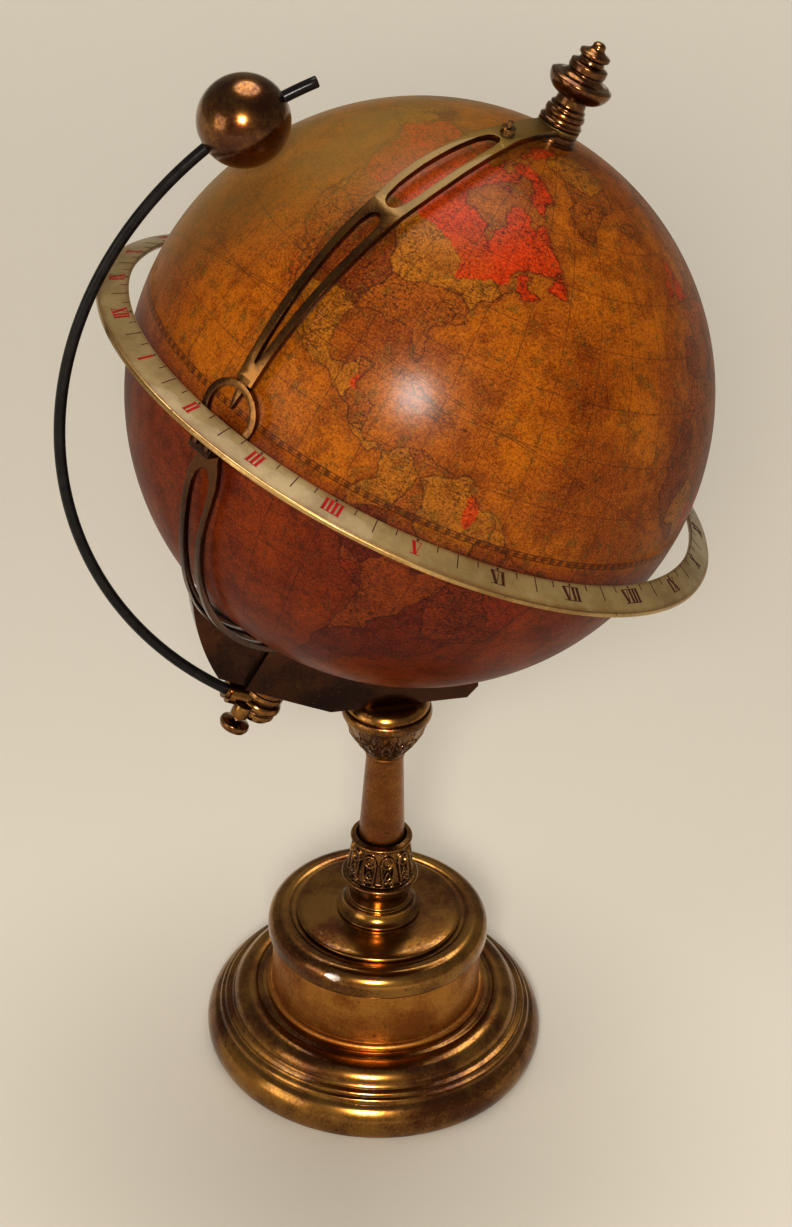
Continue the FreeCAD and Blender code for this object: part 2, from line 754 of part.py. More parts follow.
def finial():
    """Tiered turned knob over the north pole, which winds the clock."""
    return turned([
        (0, 116.0), (WIND_R, 116.0), (WIND_R, 110.4), (6.3, 110.4), (6.3, 107.3), (7.5, 107.3), (7.6, 108.4),
        (6.9, 109.0), (6.7, 110.0), (7.1, 110.8), (6.9, 112.0), (6.1, 112.6), (6.3, 113.6), (5.4, 114.4),
        (5.2, 117.2), (11.0, 122.6, 8.8, 118.6), (11.0, 123.4), (9.4, 124.2), (6.2, 126.2, 7.4, 124.8),
        (6.7, 127.0),
        (6.6, 129.2), (4.6, 130.0), (4.3, 131.4), (5.4, 132.2), (5.4, 133.4), (3.0, 134.4), (2.3, 135.2),
        (2.2, 136.4), (1.4, 137.2), (0, 137.4)])


def row_frame_parts():
    return [base_plinth, base_ballast, base_felt, base_drum, base_cap, cap_disc, foot_collar, scroll_band,
            column_shaft, leaf_cup, cup_dome, tie_rod, tie_washer, tie_nut, saddle]


def polar_frame_parts():
    return [meridian_arm_upper, meridian_arm_lower, chapter_ring, ring_face, ring_bracket, bracket_screws,
            south_post, south_nut, north_tube, north_nut, movement_plate_south, movement_plate_north,
            movement_pillars, pillar_screws, balance_platform, balance_cock,
            globe_shell_north, globe_shell_south, equator_strip, pole_bush_north, pole_bush_south,
            drive_sleeve, globe_wheel, barrel_drum, barrel_cover, mainspring, winding_arbor, finial,
            layshaft_arbor, drive_pinion, lay_pinion, third_wheel, escape_arbor, escape_pinion, escape_wheel,
            pallet_lever, balance_wheel, hairspring, sun_rod, clamp_hub, rod_ferrule, pivot_nut, thumbscrew,
            sun_ball, ball_lining]


def main():
    os.makedirs("parts", exist_ok=True)
    for make in row_frame_parts():
        make().exportStep("parts/" + make.__name__ + ".step")
    for make in polar_frame_parts():
        polar(make()).exportStep("parts/" + make.__name__ + ".step")


main()
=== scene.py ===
import cmath
import json
import math

import bmesh
import bpy
import numpy as np
from mathutils import Matrix, Vector


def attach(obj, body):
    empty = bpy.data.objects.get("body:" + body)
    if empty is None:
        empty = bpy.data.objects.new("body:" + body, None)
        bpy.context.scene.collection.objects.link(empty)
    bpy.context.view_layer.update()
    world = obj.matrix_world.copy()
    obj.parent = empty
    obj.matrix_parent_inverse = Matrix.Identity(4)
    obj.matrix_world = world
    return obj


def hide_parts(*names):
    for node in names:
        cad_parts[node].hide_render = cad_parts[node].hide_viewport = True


# Desktop globe clock on a turned brass stand.
# Pieces on the polar axis are made in a polar frame: origin at the globe's centre, +Z through the
# north pole. Outlines are in millimetres, meshes and shader distances in metres.

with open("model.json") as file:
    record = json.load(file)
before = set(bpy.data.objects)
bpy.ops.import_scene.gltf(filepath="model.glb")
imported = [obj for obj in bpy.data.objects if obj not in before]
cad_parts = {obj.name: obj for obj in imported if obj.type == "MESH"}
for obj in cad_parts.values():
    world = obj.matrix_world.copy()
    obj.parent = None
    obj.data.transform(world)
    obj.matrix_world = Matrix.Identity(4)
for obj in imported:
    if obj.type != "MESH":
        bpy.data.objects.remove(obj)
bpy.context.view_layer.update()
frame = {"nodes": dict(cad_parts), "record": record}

MM = 0.001
TILT = math.radians(24.0)
GLOBE_R = 101.6
SHELL = 2.2
CENTRE = Vector((6.8, 0.0, 287.7)) * MM
POLAR = Matrix.Translation(CENTRE) @ Matrix.Rotation(TILT, 4, "Y")
UPRIGHT = Matrix.Identity(4)
ORIGIN = (0.0, 0.0, 0.0)

BORE = 3.2                 # hole for the tie rod
PLINTH_TOP = 24.4
DRUM_TOP = 50.0
CAP_TOP = 59.4
DISC_TOP = 61.9
COLLAR_TOP = 77.6
SHAFT_FOOT = 90.0
SHAFT_TOP = 136.4
CUP_TOP = 157.4

RING_IN = 107.1
RING_OUT = 116.7
RING_TOP = -3.3            # height of the dial at its inner edge
RING_EDGE = -7.9           # height of the dial at its outer edge

SUN_R = 132.9              # the rod's arc: radius and centre, then the ball's place on it in degrees
SUN_X = 9.72
SUN_Z = -2.4
SUN_BALL = 33.9
BALL_R = 15.4

ARM_OUT = 106.9            # outer face of the meridian arm
MAP_TURN = 39.0            # polar azimuth of the map's zero meridian, degrees, westwards

FINISH = {}                # materials by name


# Objects and camera

def add_object(name, data):
    thing = bpy.data.objects.new(name, data)
    bpy.context.scene.collection.objects.link(thing)
    return thing


def make_camera():
    data = bpy.data.cameras.new("camera")
    data.lens = 85.67
    data.sensor_width = 36.0
    data.shift_x = 0.0069
    data.shift_y = -0.0077
    data.clip_start = 0.05
    camera = add_object("camera", data)
    forward = Vector((0.2138, 0.8075, -0.5498)).normalized()
    level = forward.cross(Vector((0, 0, 1))).normalized()
    above = level.cross(forward)
    roll = math.radians(2.41)
    right = level * math.cos(roll) + above * math.sin(roll)
    up = above * math.cos(roll) - level * math.sin(roll)
    turn = Matrix((right, up, -forward)).transposed().to_4x4()
    camera.matrix_world = Matrix.Translation(CENTRE + Vector((-0.2336, -0.8511, 0.4935))) @ turn
    bpy.context.scene.camera = camera


# Shader helpers

class Value:
    """An output in a material's node tree. Arithmetic on it adds maths nodes."""

    def __init__(self, tree, socket):
        self.tree = tree
        self.socket = socket

    def __add__(self, other):
        return maths("ADD", self, other)

    def __sub__(self, other):
        return maths("SUBTRACT", self, other)

    def __rsub__(self, other):
        return maths("SUBTRACT", other, self)

    def __mul__(self, other):
        return maths("MULTIPLY", self, other)

    def __truediv__(self, other):
        return maths("DIVIDE", self, other)

    def __abs__(self):
        return maths("ABSOLUTE", self)


def plug(tree, socket, value):
    """Links a value to a socket, or sets the socket to a number, a vector or a colour."""
    if isinstance(value, Value):
        tree.links.new(value.socket, socket)
    elif socket.type == "RGBA":
        socket.default_value = (*value, 1.0)
    else:
        socket.default_value = value


def add_node(tree, kind, values, output=0, **settings):
    """Adds a node, sets its options, then its inputs, and returns one output."""
    node = tree.nodes.new("ShaderNode" + kind)
    for name, setting in settings.items():
        setattr(node, name, setting)
    for name, value in values.items():
        plug(tree, node.inputs[name], value)
    return Value(tree, node.outputs[output])


def new_material(name, polar=False):
    """Adds a material to FINISH. Returns its shader and its object or polar coordinates."""
    material = bpy.data.materials.new(name)
    material.use_nodes = True
    FINISH[name] = material
    tree = material.node_tree
    coords = add_node(tree, "TexCoord", {}, "Object")
    if polar:
        coords = add_node(tree, "Mapping", {"Vector": coords, "Rotation": (0.0, -TILT, 0.0),
                                            "Location": POLAR.inverted().translation})
    return tree.nodes["Principled BSDF"], coords


def fill(shader, values):
    for name, value in values.items():
        plug(shader.id_data, shader.inputs[name], value)


def noise(coords, scale, detail=4.0, rough=0.5, output="Fac"):
    values = {"Vector": coords, "Scale": scale, "Detail": detail, "Roughness": rough}
    return add_node(coords.tree, "TexNoise", values, output)


def cells(coords, scale, feature, output):
    return add_node(coords.tree, "TexVoronoi", {"Vector": coords, "Scale": scale}, output, feature=feature)


def maths(operation, first, second=0.0):
    tree = first.tree if isinstance(first, Value) else second.tree
    return add_node(tree, "Math", {0: first, 1: second}, operation=operation)


def vector_maths(operation, first, second, third=ORIGIN, output="Vector"):
    return add_node(first.tree, "VectorMath", {0: first, 1: second, 2: third}, output, operation=operation)


def scaled(coords, scale):
    return vector_maths("MULTIPLY", coords, scale)


def distance_from(coords, place):
    return vector_maths("DISTANCE", coords, place, output="Value")


def from_axis(coords):
    """Distance from the Z axis."""
    return distance_from(scaled(coords, (1.0, 1.0, 0.0)), ORIGIN)


def xyz(coords):
    node = coords.tree.nodes.new("ShaderNodeSeparateXYZ")
    plug(coords.tree, node.inputs[0], coords)
    return [Value(coords.tree, output) for output in node.outputs]


def between(value, low, high, start=0.0, end=1.0):
    """Maps low to high onto start to end, smoothly, and holds beyond."""
    values = {"Value": value, "From Min": low, "From Max": high, "To Min": start, "To Max": end}
    return add_node(value.tree, "MapRange", values, "Result", interpolation_type="SMOOTHSTEP")


def blended(share, first, second, kind="MIX"):
    values = {"Factor": share, "A": first, "B": second}
    return add_node(share.tree, "Mix", values, "Result", data_type="RGBA", blend_type=kind)


def laid(tone, value, low, high, start, end, shade, kind="MIX"):
    """Lays a shade on a tone. Its share runs from start to end as the value runs from low to high."""
    return blended(between(value, low, high, start, end), tone, shade, kind)


def bumped(height, distance):
    return add_node(height.tree, "Bump", {"Height": height, "Distance": distance, "Strength": 1.0}, "Normal")


def crevice(tree, distance):
    """One in the open, falling towards zero in a recess."""
    return add_node(tree, "AmbientOcclusion", {"Distance": distance}, "AO", samples=4, only_local=True)


# Materials

def brass(name, bright, dark, rough, turned=0.0, grain=0.0, coat=0.3, recess_shade=0.0, anisotropy=0.0, polar=False,
          lit_wear_radius=None, chip=None):
    """Lacquered old brass: cloudy tarnish, turning lines, scratches, grain, and painted shade in the
    recesses.
    The wear radius, if given, is where an arm's outer face begins to show wear and painted light: near the
    pole that face is made matte and painted a lighter olive gold, as if lit from above. chip is a bare spot's
    place."""
    shader, coords = new_material(name, polar)
    up = xyz(coords)[2]
    cloud = noise(coords, 45.0, 5.0, 0.6)
    fleck = noise(coords, 900.0, 3.0, 0.7)
    tarnish = cloud * 0.7 + fleck * 0.3
    tone = blended(between(tarnish, 0.38, 0.62), bright, dark)
    height = fleck * grain
    gloss = between(tarnish, 0.3, 0.7, rough * 0.75, rough * 1.35)
    # Wear and painted light: past the wear radius the arm's outer face is made matte and painted lighter,
    # only near the pole, where the face turns up to the light.
    if lit_wear_radius:
        reach = distance_from(coords, ORIGIN)
        lit_wear = between(cloud * 0.0005 + reach, lit_wear_radius, lit_wear_radius + 0.0004)
        lit_wear *= between(reach, lit_wear_radius + 0.0007, lit_wear_radius + 0.0009, 0.92, 0.0)
        lit_wear *= between(up, 0.071, 0.079)      # near the pole
        tone = blended(lit_wear, tone, blended(fleck, (0.13, 0.078, 0.018), (0.21, 0.135, 0.036)))
        gloss = maths("MAXIMUM", gloss, lit_wear * 0.60)
    if turned:
        rings = add_node(coords.tree, "CombineXYZ", {"X": from_axis(coords), "Z": up})
        lines = noise(rings, 2600.0, 2.0, 0.6)
        height += lines * turned
        tone = laid(tone, lines, 0.5, 0.75, 0.0, 0.3, dark)
    scratch = noise(scaled(coords, (1.0, 0.25, 6.0)), 260.0, 2.0, 0.8)
    tone = laid(tone, scratch, 0.70, 0.76, 0.0, 0.35, (0.60, 0.40, 0.16))
    spot = noise(coords, 210.0, 4.0, 0.7)
    tone = laid(tone, spot, 0.63, 0.70, 0.0, 0.6, (0.035, 0.014, 0.006))
    # Painted shade: the tone darkens towards near black where the occlusion is deep, in the recesses.
    if recess_shade:
        tone = laid(tone, crevice(coords.tree, 0.004), 0.35, 0.95, recess_shade, 0.0, (0.012, 0.005, 0.003))
    if chip:
        squash = Vector((0.75, 0.75, 1.9))
        ragged = noise(coords, 700.0, 3.0, 0.8) * 0.0045
        away = ragged + distance_from(scaled(coords, squash), squash * Vector(chip))
        tone = laid(tone, away, 0.0043, 0.0048, 0.9, 0.0, (0.80, 0.70, 0.66))
    fill(shader, {"Base Color": tone, "Roughness": gloss, "Normal": bumped(height, 0.0002), "Metallic": 1.0,
                  "Coat Weight": coat, "Coat Roughness": 0.08})
    if anisotropy:
        tangent = add_node(coords.tree, "Tangent", {}, direction_type="RADIAL", axis="Z")
        fill(shader, {"Anisotropic": anisotropy, "Tangent": tangent})


def mottled(name, first, second, rough, scale, metallic=0.0, bump=0.0, coat=0.0, shine=0.4):
    """Cloudy surface of two tones with a matching roughness and bump."""
    shader, coords = new_material(name)
    cloud = noise(coords, scale, 6.0, 0.65)
    fill(shader, {
        "Base Color": blended(between(cloud, 0.35, 0.65), first, second),
        "Roughness": between(cloud, 0.2, 0.8, rough * 0.8, min(1.0, rough * 1.2)),
        "Normal": bumped(cloud, bump), "Metallic": metallic, "Specular IOR Level": shine,
        "Coat Weight": coat, "Coat Roughness": 0.06})


def dial_enamel():
    """Old ivory enamel: warm blotches, stained edges and fine scratches."""
    shader, coords = new_material("dial_ivory", True)
    blotch = noise(coords, 60.0, 6.0, 0.7)
    speck = noise(coords, 1400.0, 2.0, 0.6)
    tone = blended(between(blotch, 0.35, 0.7), (0.215, 0.155, 0.066), (0.15, 0.098, 0.035))
    edge = abs(from_axis(coords) - 0.5 * (RING_IN + RING_OUT) * MM)
    stain = between(edge, 0.0030, 0.0045) * between(blotch, 0.3, 0.6, 0.2, 0.75)
    tone = blended(stain, tone, (0.12, 0.055, 0.016))
    tone = laid(tone, speck, 0.66, 0.74, 0.0, 0.6, (0.09, 0.045, 0.018))
    fill(shader, {
        "Base Color": tone, "Roughness": between(blotch, 0.2, 0.8, 0.3, 0.5),
        "Normal": bumped(speck, 0.00003), "Metallic": 0.15, "Specular IOR Level": 0.25, "Coat Weight": 0.2})


def map_grounds(coords, cloud, ashore, within):
    """Sea, countries as tinted cells with thin borders, and the red lands."""
    sea = blended(between(cloud, 0.35, 0.65), (0.285, 0.090, 0.003), (0.185, 0.047, 0.002))
    warp = noise(coords, 60.0, 3.0, 0.5, "Color")
    lands = vector_maths("MULTIPLY_ADD", warp, (0.012, 0.012, 0.012), coords)
    hue = xyz(cells(lands, 42.0, "F1", "Color"))[0]
    tints = blended(between(hue, 0.30, 0.31), (0.20, 0.056, 0.004), (0.25, 0.092, 0.006))
    tints = blended(between(hue, 0.55, 0.56), tints, (0.15, 0.034, 0.004))
    tints = blended(between(hue, 0.80, 0.81), tints, (0.23, 0.052, 0.003))
    border = cells(lands, 42.0, "DISTANCE_TO_EDGE", "Distance")
    tints = laid(tints, border, 0.006, 0.02, 0.55, 0.0, (0.035, 0.008, 0.003))
    red = blended(between(cloud, 0.3, 0.7), (0.34, 0.028, 0.001), (0.27, 0.044, 0.002))
    return blended(ashore, sea, blended(within, tints, red))


def fine_print(tone, coords, land, ashore, speck, crowd):
    """Names and hills as specks, rivers as threads, and lines along the coasts."""
    ink = between(speck, 0.50, 0.62) * between(crowd, 0.36, 0.58, 0.25, 0.95) * (ashore * 0.50 + 0.32)
    tone = blended(ink, tone, (0.030, 0.007, 0.003))
    thread = abs(noise(coords, 95.0, 5.0, 0.6) - 0.5)
    river = between(thread, 0.002, 0.010, 0.45, 0.0) * ashore
    tone = blended(river, tone, (0.035, 0.009, 0.004))
    tone = laid(tone, abs(land), 0.04, 0.30, 0.60, 0.0, (0.025, 0.006, 0.003))
    shore = between(land, -2.6, -0.1, 0.0, 0.35) * (1.0 - ashore)
    return blended(shore, tone, (0.12, 0.026, 0.003))


def uneven_ink(tone, coords, within):
    """Broad mottling, greenish patches and fine grain."""
    mottle = noise(coords, 120.0, 6.0, 0.72)
    tone = laid(tone, mottle, 0.36, 0.54, 0.62, 0.0, (0.50, 0.36, 0.30), "MULTIPLY")
    patch = noise(coords, 230.0, 5.0, 0.75)
    green = between(patch, 0.52, 0.64, 0.0, 0.6) * (1.0 - within)
    tone = blended(green, tone, (0.085, 0.045, 0.006))
    grain = noise(coords, 1500.0, 2.0, 0.8)
    tone = laid(tone, grain, 0.50, 0.40, 0.0, 0.60, (0.42, 0.26, 0.20), "MULTIPLY")
    return laid(tone, grain, 0.54, 0.66, 0.0, 0.22, (0.42, 0.17, 0.030))


def graticule(tone, coords):
    """Lines every ten degrees, the equator's scale and the ecliptic."""
    ink = (0.035, 0.009, 0.004)
    part = xyz(coords)
    out = from_axis(coords)
    longitude = maths("ARCTAN2", part[1], part[0]) * (180.0 / math.pi) + 361.0
    latitude = maths("ARCTAN2", part[2], out) * (180.0 / math.pi) + 90.0
    aside = maths("PINGPONG", longitude, 5.0) * (out / (GLOBE_R * MM))
    along = maths("PINGPONG", latitude, 5.0)
    tone = laid(tone, maths("MINIMUM", aside, along), 0.06, 0.17, 0.42, 0.0, (0.045, 0.011, 0.004))
    height = abs(part[2])
    dashes = between(maths("PINGPONG", longitude, 1.0), 0.48, 0.52)
    tone = blended(between(height, 0.0009, 0.0010, 0.6, 0.0) * dashes, tone, ink)
    tone = laid(tone, abs(height - 0.0010), 0.00010, 0.00022, 0.7, 0.0, (0.03, 0.008, 0.004))
    path = vector_maths("DOT_PRODUCT", coords, (0.25, 0.31, 0.917), output="Value")
    return laid(tone, abs(abs(path) - 0.0004), 0.00008, 0.00020, 0.5, 0.0, ink)


def map_stain_and_sheen(tone, coords):
    """Darker and redder below the ring, stained, and with a painted olive sheen on one upper side."""
    up = xyz(coords)[2]
    tone = laid(tone, up, -0.010, 0.003, 0.88, 0.0, (0.50, 0.22, 0.50), "MULTIPLY")
    stain = noise(coords, 14.0, 6.0, 0.65)
    tone = laid(tone, stain, 0.52, 0.72, 0.0, 0.45, (0.62, 0.45, 0.40), "MULTIPLY")
    # Painted reflection: an olive sheen on the side of the globe that faces this direction, broken up by the
    # stains.
    sheen_side = vector_maths("DOT_PRODUCT", coords, (-5.9, 4.4, 6.6), output="Value")
    olive_sheen = between(sheen_side, 0.55, 1.0, 0.0, 0.75) * between(stain, 0.35, 0.6, 0.6, 1.0)
    return blended(olive_sheen, tone, (0.20, 0.135, 0.036))


def map_print():
    """Printed map under aged varnish. Signed distances to the coasts come from the mesh."""
    shader, coords = new_material("map_paper", True)
    wiggle = (noise(coords, 170.0, 6.0, 0.62) - 0.5) * 3.0
    land, empire = [add_node(coords.tree, "Attribute", {}, "Fac", attribute_name=name) + wiggle
                    for name in ("land", "empire")]
    ashore = between(land, -0.06, 0.06)
    within = between(empire, -0.06, 0.06)
    cloud = noise(coords, 28.0, 5.0, 0.6)
    speck = noise(scaled(coords, (1.0, 1.0, 2.4)), 620.0, 3.0, 0.75)
    crowd = noise(coords, 75.0, 3.0, 0.6)
    tone = map_grounds(coords, cloud, ashore, within)
    tone = fine_print(tone, coords, land, ashore, speck, crowd)
    tone = uneven_ink(tone, coords, within)
    tone = graticule(tone, coords)
    tone = map_stain_and_sheen(tone, coords)
    flaw = between(crowd, 0.62, 0.75) * between(speck, 0.45, 0.7)
    relief = noise(coords, 420.0, 3.0, 0.5) * 0.5 + flaw * 0.6
    fill(shader, {
        "Base Color": tone, "Roughness": between(cloud, 0.2, 0.8, 0.36, 0.50),
        "Normal": bumped(relief, 0.00010), "Coat Normal": bumped(relief, 0.00006),
        "Specular IOR Level": 0.05, "Coat Weight": 0.19, "Coat Roughness": 0.24})


def make_materials():
    # Radius where the arms' outer faces begin to show wear and painted light.
    lit_wear_start = (ARM_OUT - 0.35) * MM
    brass("spun_brass", (0.38, 0.200, 0.044), (0.11, 0.036, 0.009), 0.22, turned=0.10, recess_shade=0.7,
          chip=(-0.0252, -0.0327, 0.0573))
    brass("satin_brass", (0.48, 0.235, 0.050), (0.26, 0.090, 0.016), 0.42, turned=0.12, grain=0.55, coat=0.12,
          recess_shade=0.3, anisotropy=0.4)
    brass("shaft_brass", (0.34, 0.150, 0.034), (0.18, 0.064, 0.014), 0.32, turned=0.10, grain=0.2, coat=0.2,
          recess_shade=0.3, anisotropy=0.3)
    brass("cast_brass", (0.32, 0.160, 0.038), (0.075, 0.024, 0.008), 0.26, grain=0.4, recess_shade=0.97)
    brass("saddle_brass", (0.075, 0.026, 0.007), (0.022, 0.007, 0.003), 0.22, grain=0.3, coat=0.25, recess_shade=0.7)
    brass("arm_brass", (0.22, 0.105, 0.024), (0.06, 0.020, 0.006), 0.22, grain=0.15, recess_shade=0.6, polar=True,
          lit_wear_radius=lit_wear_start)
    # shaded_brass is arm_brass made darker for the lower arm: painted shade.
    brass("shaded_brass", (0.115, 0.045, 0.011), (0.035, 0.011, 0.004), 0.22, grain=0.15, recess_shade=0.7,
          polar=True, lit_wear_radius=lit_wear_start)
    brass("ring_brass", (0.46, 0.31, 0.13), (0.28, 0.17, 0.06), 0.36, turned=0.06, polar=True)
    brass("knob_brass", (0.28, 0.135, 0.030), (0.075, 0.022, 0.006), 0.21, turned=0.05, coat=0.4, recess_shade=0.8,
          polar=True)
    brass("movement_brass", (0.75, 0.55, 0.22), (0.60, 0.42, 0.16), 0.3)
    dial_enamel()
    map_print()
    mottled("board", (0.45, 0.36, 0.25), (0.36, 0.28, 0.18), 0.9, 120.0, bump=0.0003)
    mottled("black_steel", (0.006, 0.005, 0.005), (0.012, 0.010, 0.009), 0.30, 240.0, bump=0.00005, coat=0.08,
            shine=0.15)
    mottled("steel", (0.55, 0.55, 0.56), (0.42, 0.42, 0.44), 0.3, 300.0, 1.0, 0.00002)
    mottled("spring_steel", (0.20, 0.24, 0.36), (0.12, 0.14, 0.24), 0.28, 200.0, 1.0)
    mottled("cast_iron", (0.10, 0.10, 0.10), (0.05, 0.05, 0.05), 0.75, 400.0, 0.6, 0.0004)
    mottled("felt", (0.05, 0.11, 0.06), (0.03, 0.07, 0.04), 1.0, 1500.0, bump=0.0006)
    mottled("lining", (0.03, 0.028, 0.025), (0.06, 0.05, 0.045), 0.7, 500.0, bump=0.0001)
    mottled("numeral_red", (0.27, 0.006, 0.006), (0.18, 0.005, 0.005), 0.5, 700.0, shine=0.1)
    mottled("numeral_black", (0.030, 0.010, 0.007), (0.06, 0.016, 0.010), 0.5, 700.0, shine=0.1)


# Mesh helpers

def mesh_object(name, points, faces, matrix, sharp=38.0):
    """Smooth-shaded mesh from points in millimetres in the frame of the matrix."""
    mesh = bpy.data.meshes.new(name)
    mesh.from_pydata([tuple(point) for point in np.asarray(points, float) * MM], [], faces)
    mesh.shade_smooth()
    mesh.set_sharp_from_angle(angle=math.radians(sharp))
    mesh.transform(matrix)
    return add_object(name, mesh)


def along_arc(start, middle, end, steps):
    """Points after start along the circle through three points of the plane."""
    a, b, c = complex(*start), complex(*middle), complex(*end)
    ratio = (c - a) / (b - a)
    centre = a + (b - a) * (ratio - abs(ratio) ** 2) / (2j * ratio.imag)
    sweep = cmath.phase((c - centre) / (a - centre))
    whole = math.copysign(2 * math.pi, ratio.imag)
    if sweep * whole < 0:
        sweep += whole
    spots = [centre + (a - centre) * cmath.rect(1.0, sweep * i / steps) for i in range(1, steps + 1)]
    return [(spot.real, spot.imag) for spot in spots]


def traced(points, steps=10):
    """Closed outline with its arcs divided. A point with four numbers ends an arc through its last two."""
    line = []
    for start, end in zip(points, points[1:] + points[:1]):
        if len(end) == 4:
            line += along_arc(start[:2], end[2:], end[:2], steps)
        else:
            line.append(end)
    return line


def softened(line, radius, limit=24.0):
    """Closed outline with each corner sharper than the limit rounded off."""
    result = []
    count = len(line)
    for i in range(count):
        before, point, after = Vector(line[i - 1]), Vector(line[i]), Vector(line[(i + 1) % count])
        back, ahead = before - point, after - point
        if point.x < 1e-6 or math.degrees(math.pi - back.angle(ahead, math.pi)) < limit:
            result.append(tuple(point))
            continue
        cut = min(radius, 0.42 * back.length, 0.42 * ahead.length)
        first = point + back.normalized() * cut
        last = point + ahead.normalized() * cut
        for share in (0.0, 0.33, 0.67, 1.0):
            spot = first.lerp(point, share).lerp(point.lerp(last, share), share)
            result.append(tuple(spot))
    return result


def ring_faces(pairs):
    """Faces between pairs of rings of point numbers. A ring of one repeated number is a closed end."""
    faces = []
    for here, there in pairs:
        if here[0] == here[1] and there[0] == there[1]:
            continue
        for i in range(len(here)):
            corners = [here[i - 1], here[i], there[i], there[i - 1]]
            faces.append([c for n, c in enumerate(corners) if c != corners[n - 1]])
    return faces


def lathe(name, line, matrix, segments=128, radial=None, sharp=38.0):
    """Closed solid of revolution from a closed (radius, height) outline.
    radial(angle, radius, height), if given, returns how far each point moves outwards."""
    area = sum(a[0] * b[1] - b[0] * a[1] for a, b in zip(line, line[1:] + line[:1]))
    if area < 0:
        line = line[::-1]
    angles = np.arange(segments) * 2 * math.pi / segments
    points, rings = [], []
    for radius, height in line:
        if radius < 1e-6:
            rings.append([len(points)] * segments)
            points.append((0.0, 0.0, height))
            continue
        reach = radius if radial is None else radius + radial(angles, radius, height)
        ring = np.stack([reach * np.cos(angles), reach * np.sin(angles), np.full(segments, height)], 1)
        rings.append(list(range(len(points), len(points) + segments)))
        points.extend(ring.tolist())
    return mesh_object(name, points, ring_faces(zip(rings, rings[1:] + rings[:1])), matrix, sharp)


def refined(name, node, width):
    """Copy of a CAD node's mesh with its creases bevelled."""
    shape = bmesh.new()
    shape.from_mesh(frame["nodes"][node].data)
    bmesh.ops.remove_doubles(shape, verts=shape.verts, dist=2e-6)
    bmesh.ops.dissolve_limit(shape, angle_limit=math.radians(0.6), verts=shape.verts, edges=shape.edges)
    creases = [edge for edge in shape.edges
               if len(edge.link_faces) == 2 and edge.calc_face_angle(0.0) > math.radians(32)]
    bmesh.ops.bevel(shape, geom=creases, offset=width * MM, offset_type="OFFSET", segments=2, profile=0.6,
                    affect="EDGES", clamp_overlap=True)
    bmesh.ops.triangulate(shape, faces=[face for face in shape.faces if len(face.verts) > 4])
    mesh = bpy.data.meshes.new(name)
    shape.to_mesh(mesh)
    shape.free()
    mesh.shade_smooth()
    mesh.set_sharp_from_angle(angle=math.radians(40))
    return add_object(name, mesh)


def dress(piece, body, slot, *nodes, material=None):
    """Gives a piece its finish and body, and hides the CAD nodes that it stands for."""
    piece.data.materials.append(FINISH[material or slot])
    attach(piece, body)
    if nodes:
        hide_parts(*nodes)


def lathed(name, node, outline, segments, soft, steps=10, body="stand", slot="spun_brass", matrix=UPRIGHT,
           material=None):
    """Piece turned from an outline, its arcs divided and its corners rounded off."""
    piece = lathe(name, softened(traced(outline, steps), soft), matrix, segments)
    dress(piece, body, slot, node, material=material)


# Stand

def make_base():
    plinth = [
        (64.6, 0.6), (62.4, 13.4, 65.8, 6.6), (61.2, 14.0), (60.4, 16.0, 60.9, 15.2), (59.2, 16.4),
        (58.4, 17.8, 58.9, 17.3), (56.6, 18.0), (55.6, 19.4, 56.1, 18.9), (46.8, 24.2, 52.6, 23.4),
        (46.0, 23.6), (44.4, PLINTH_TOP), (BORE, PLINTH_TOP), (BORE, 22.0), (43.0, 22.0), (52.0, 20.0),
        (57.0, 14.8), (60.0, 11.0), (62.4, 6.6), (61.8, 0.6)]
    lathed("plinth", "base_plinth", plinth, 256, 0.35, 16)
    drum = [
        (38.4, PLINTH_TOP), (42.6, PLINTH_TOP), (40.6, 27.0, 42.3, 26.4), (40.6, DRUM_TOP), (38.4, DRUM_TOP)]
    lathed("drum", "base_drum", drum, 256, 0.3, slot="satin_brass")
    cap = [
        (BORE, CAP_TOP), (33.6, CAP_TOP), (36.0, 60.0, 34.8, 59.9), (42.5, 54.0, 40.9, 58.4), (42.6, 51.4),
        (42.1, 50.6), (39.8, 50.6), (39.8, DRUM_TOP), (38.6, DRUM_TOP), (38.6, 53.6),
        (35.4, 57.2, 37.6, 56.3), (BORE, 57.2)]
    lathed("cap", "base_cap", cap, 256, 0.4, 16)
    disc = [(BORE, CAP_TOP), (31.2, CAP_TOP), (31.0, 61.3, 31.8, 60.4), (28.6, 61.7), (BORE, DISC_TOP)]
    lathed("cap_plate", "cap_disc", disc, 192, 0.3)


def make_column():
    collar = [
        (BORE, DISC_TOP), (16.0, DISC_TOP), (16.1, 62.9), (14.6, 63.6), (12.6, 67.4, 13.2, 65.2),
        (12.8, 68.2), (11.7, 68.8), (11.7, 70.2), (13.4, 77.0, 12.0, 74.0), (13.4, COLLAR_TOP),
        (BORE, COLLAR_TOP)]
    lathed("collar", "foot_collar", collar, 128, 0.25)
    shaft = [(BORE, SHAFT_FOOT), (9.1, SHAFT_FOOT), (7.0, 134.8), (7.4, 135.2), (7.4, SHAFT_TOP),
             (BORE, SHAFT_TOP)]
    lathed("shaft", "column_shaft", shaft, 96, 0.2, slot="satin_brass", material="shaft_brass")
    dome = [(BORE, CUP_TOP), (15.4, CUP_TOP), (15.8, 158.4), (11.0, 162.2, 14.1, 161.0), (BORE, 162.2)]
    lathed("cup_top", "cup_dome", dome, 128, 0.25, 12)
    make_scroll_band()
    make_leaf_cup()


def stroke(u, v, centre, radius, width):
    """Height of a ring-shaped stroke: one on its line, falling to zero at its edges."""
    away = np.abs(np.hypot(u - centre[0], v - centre[1]) - radius)
    return np.clip(1.5 - away / width * 1.5, 0, 1)


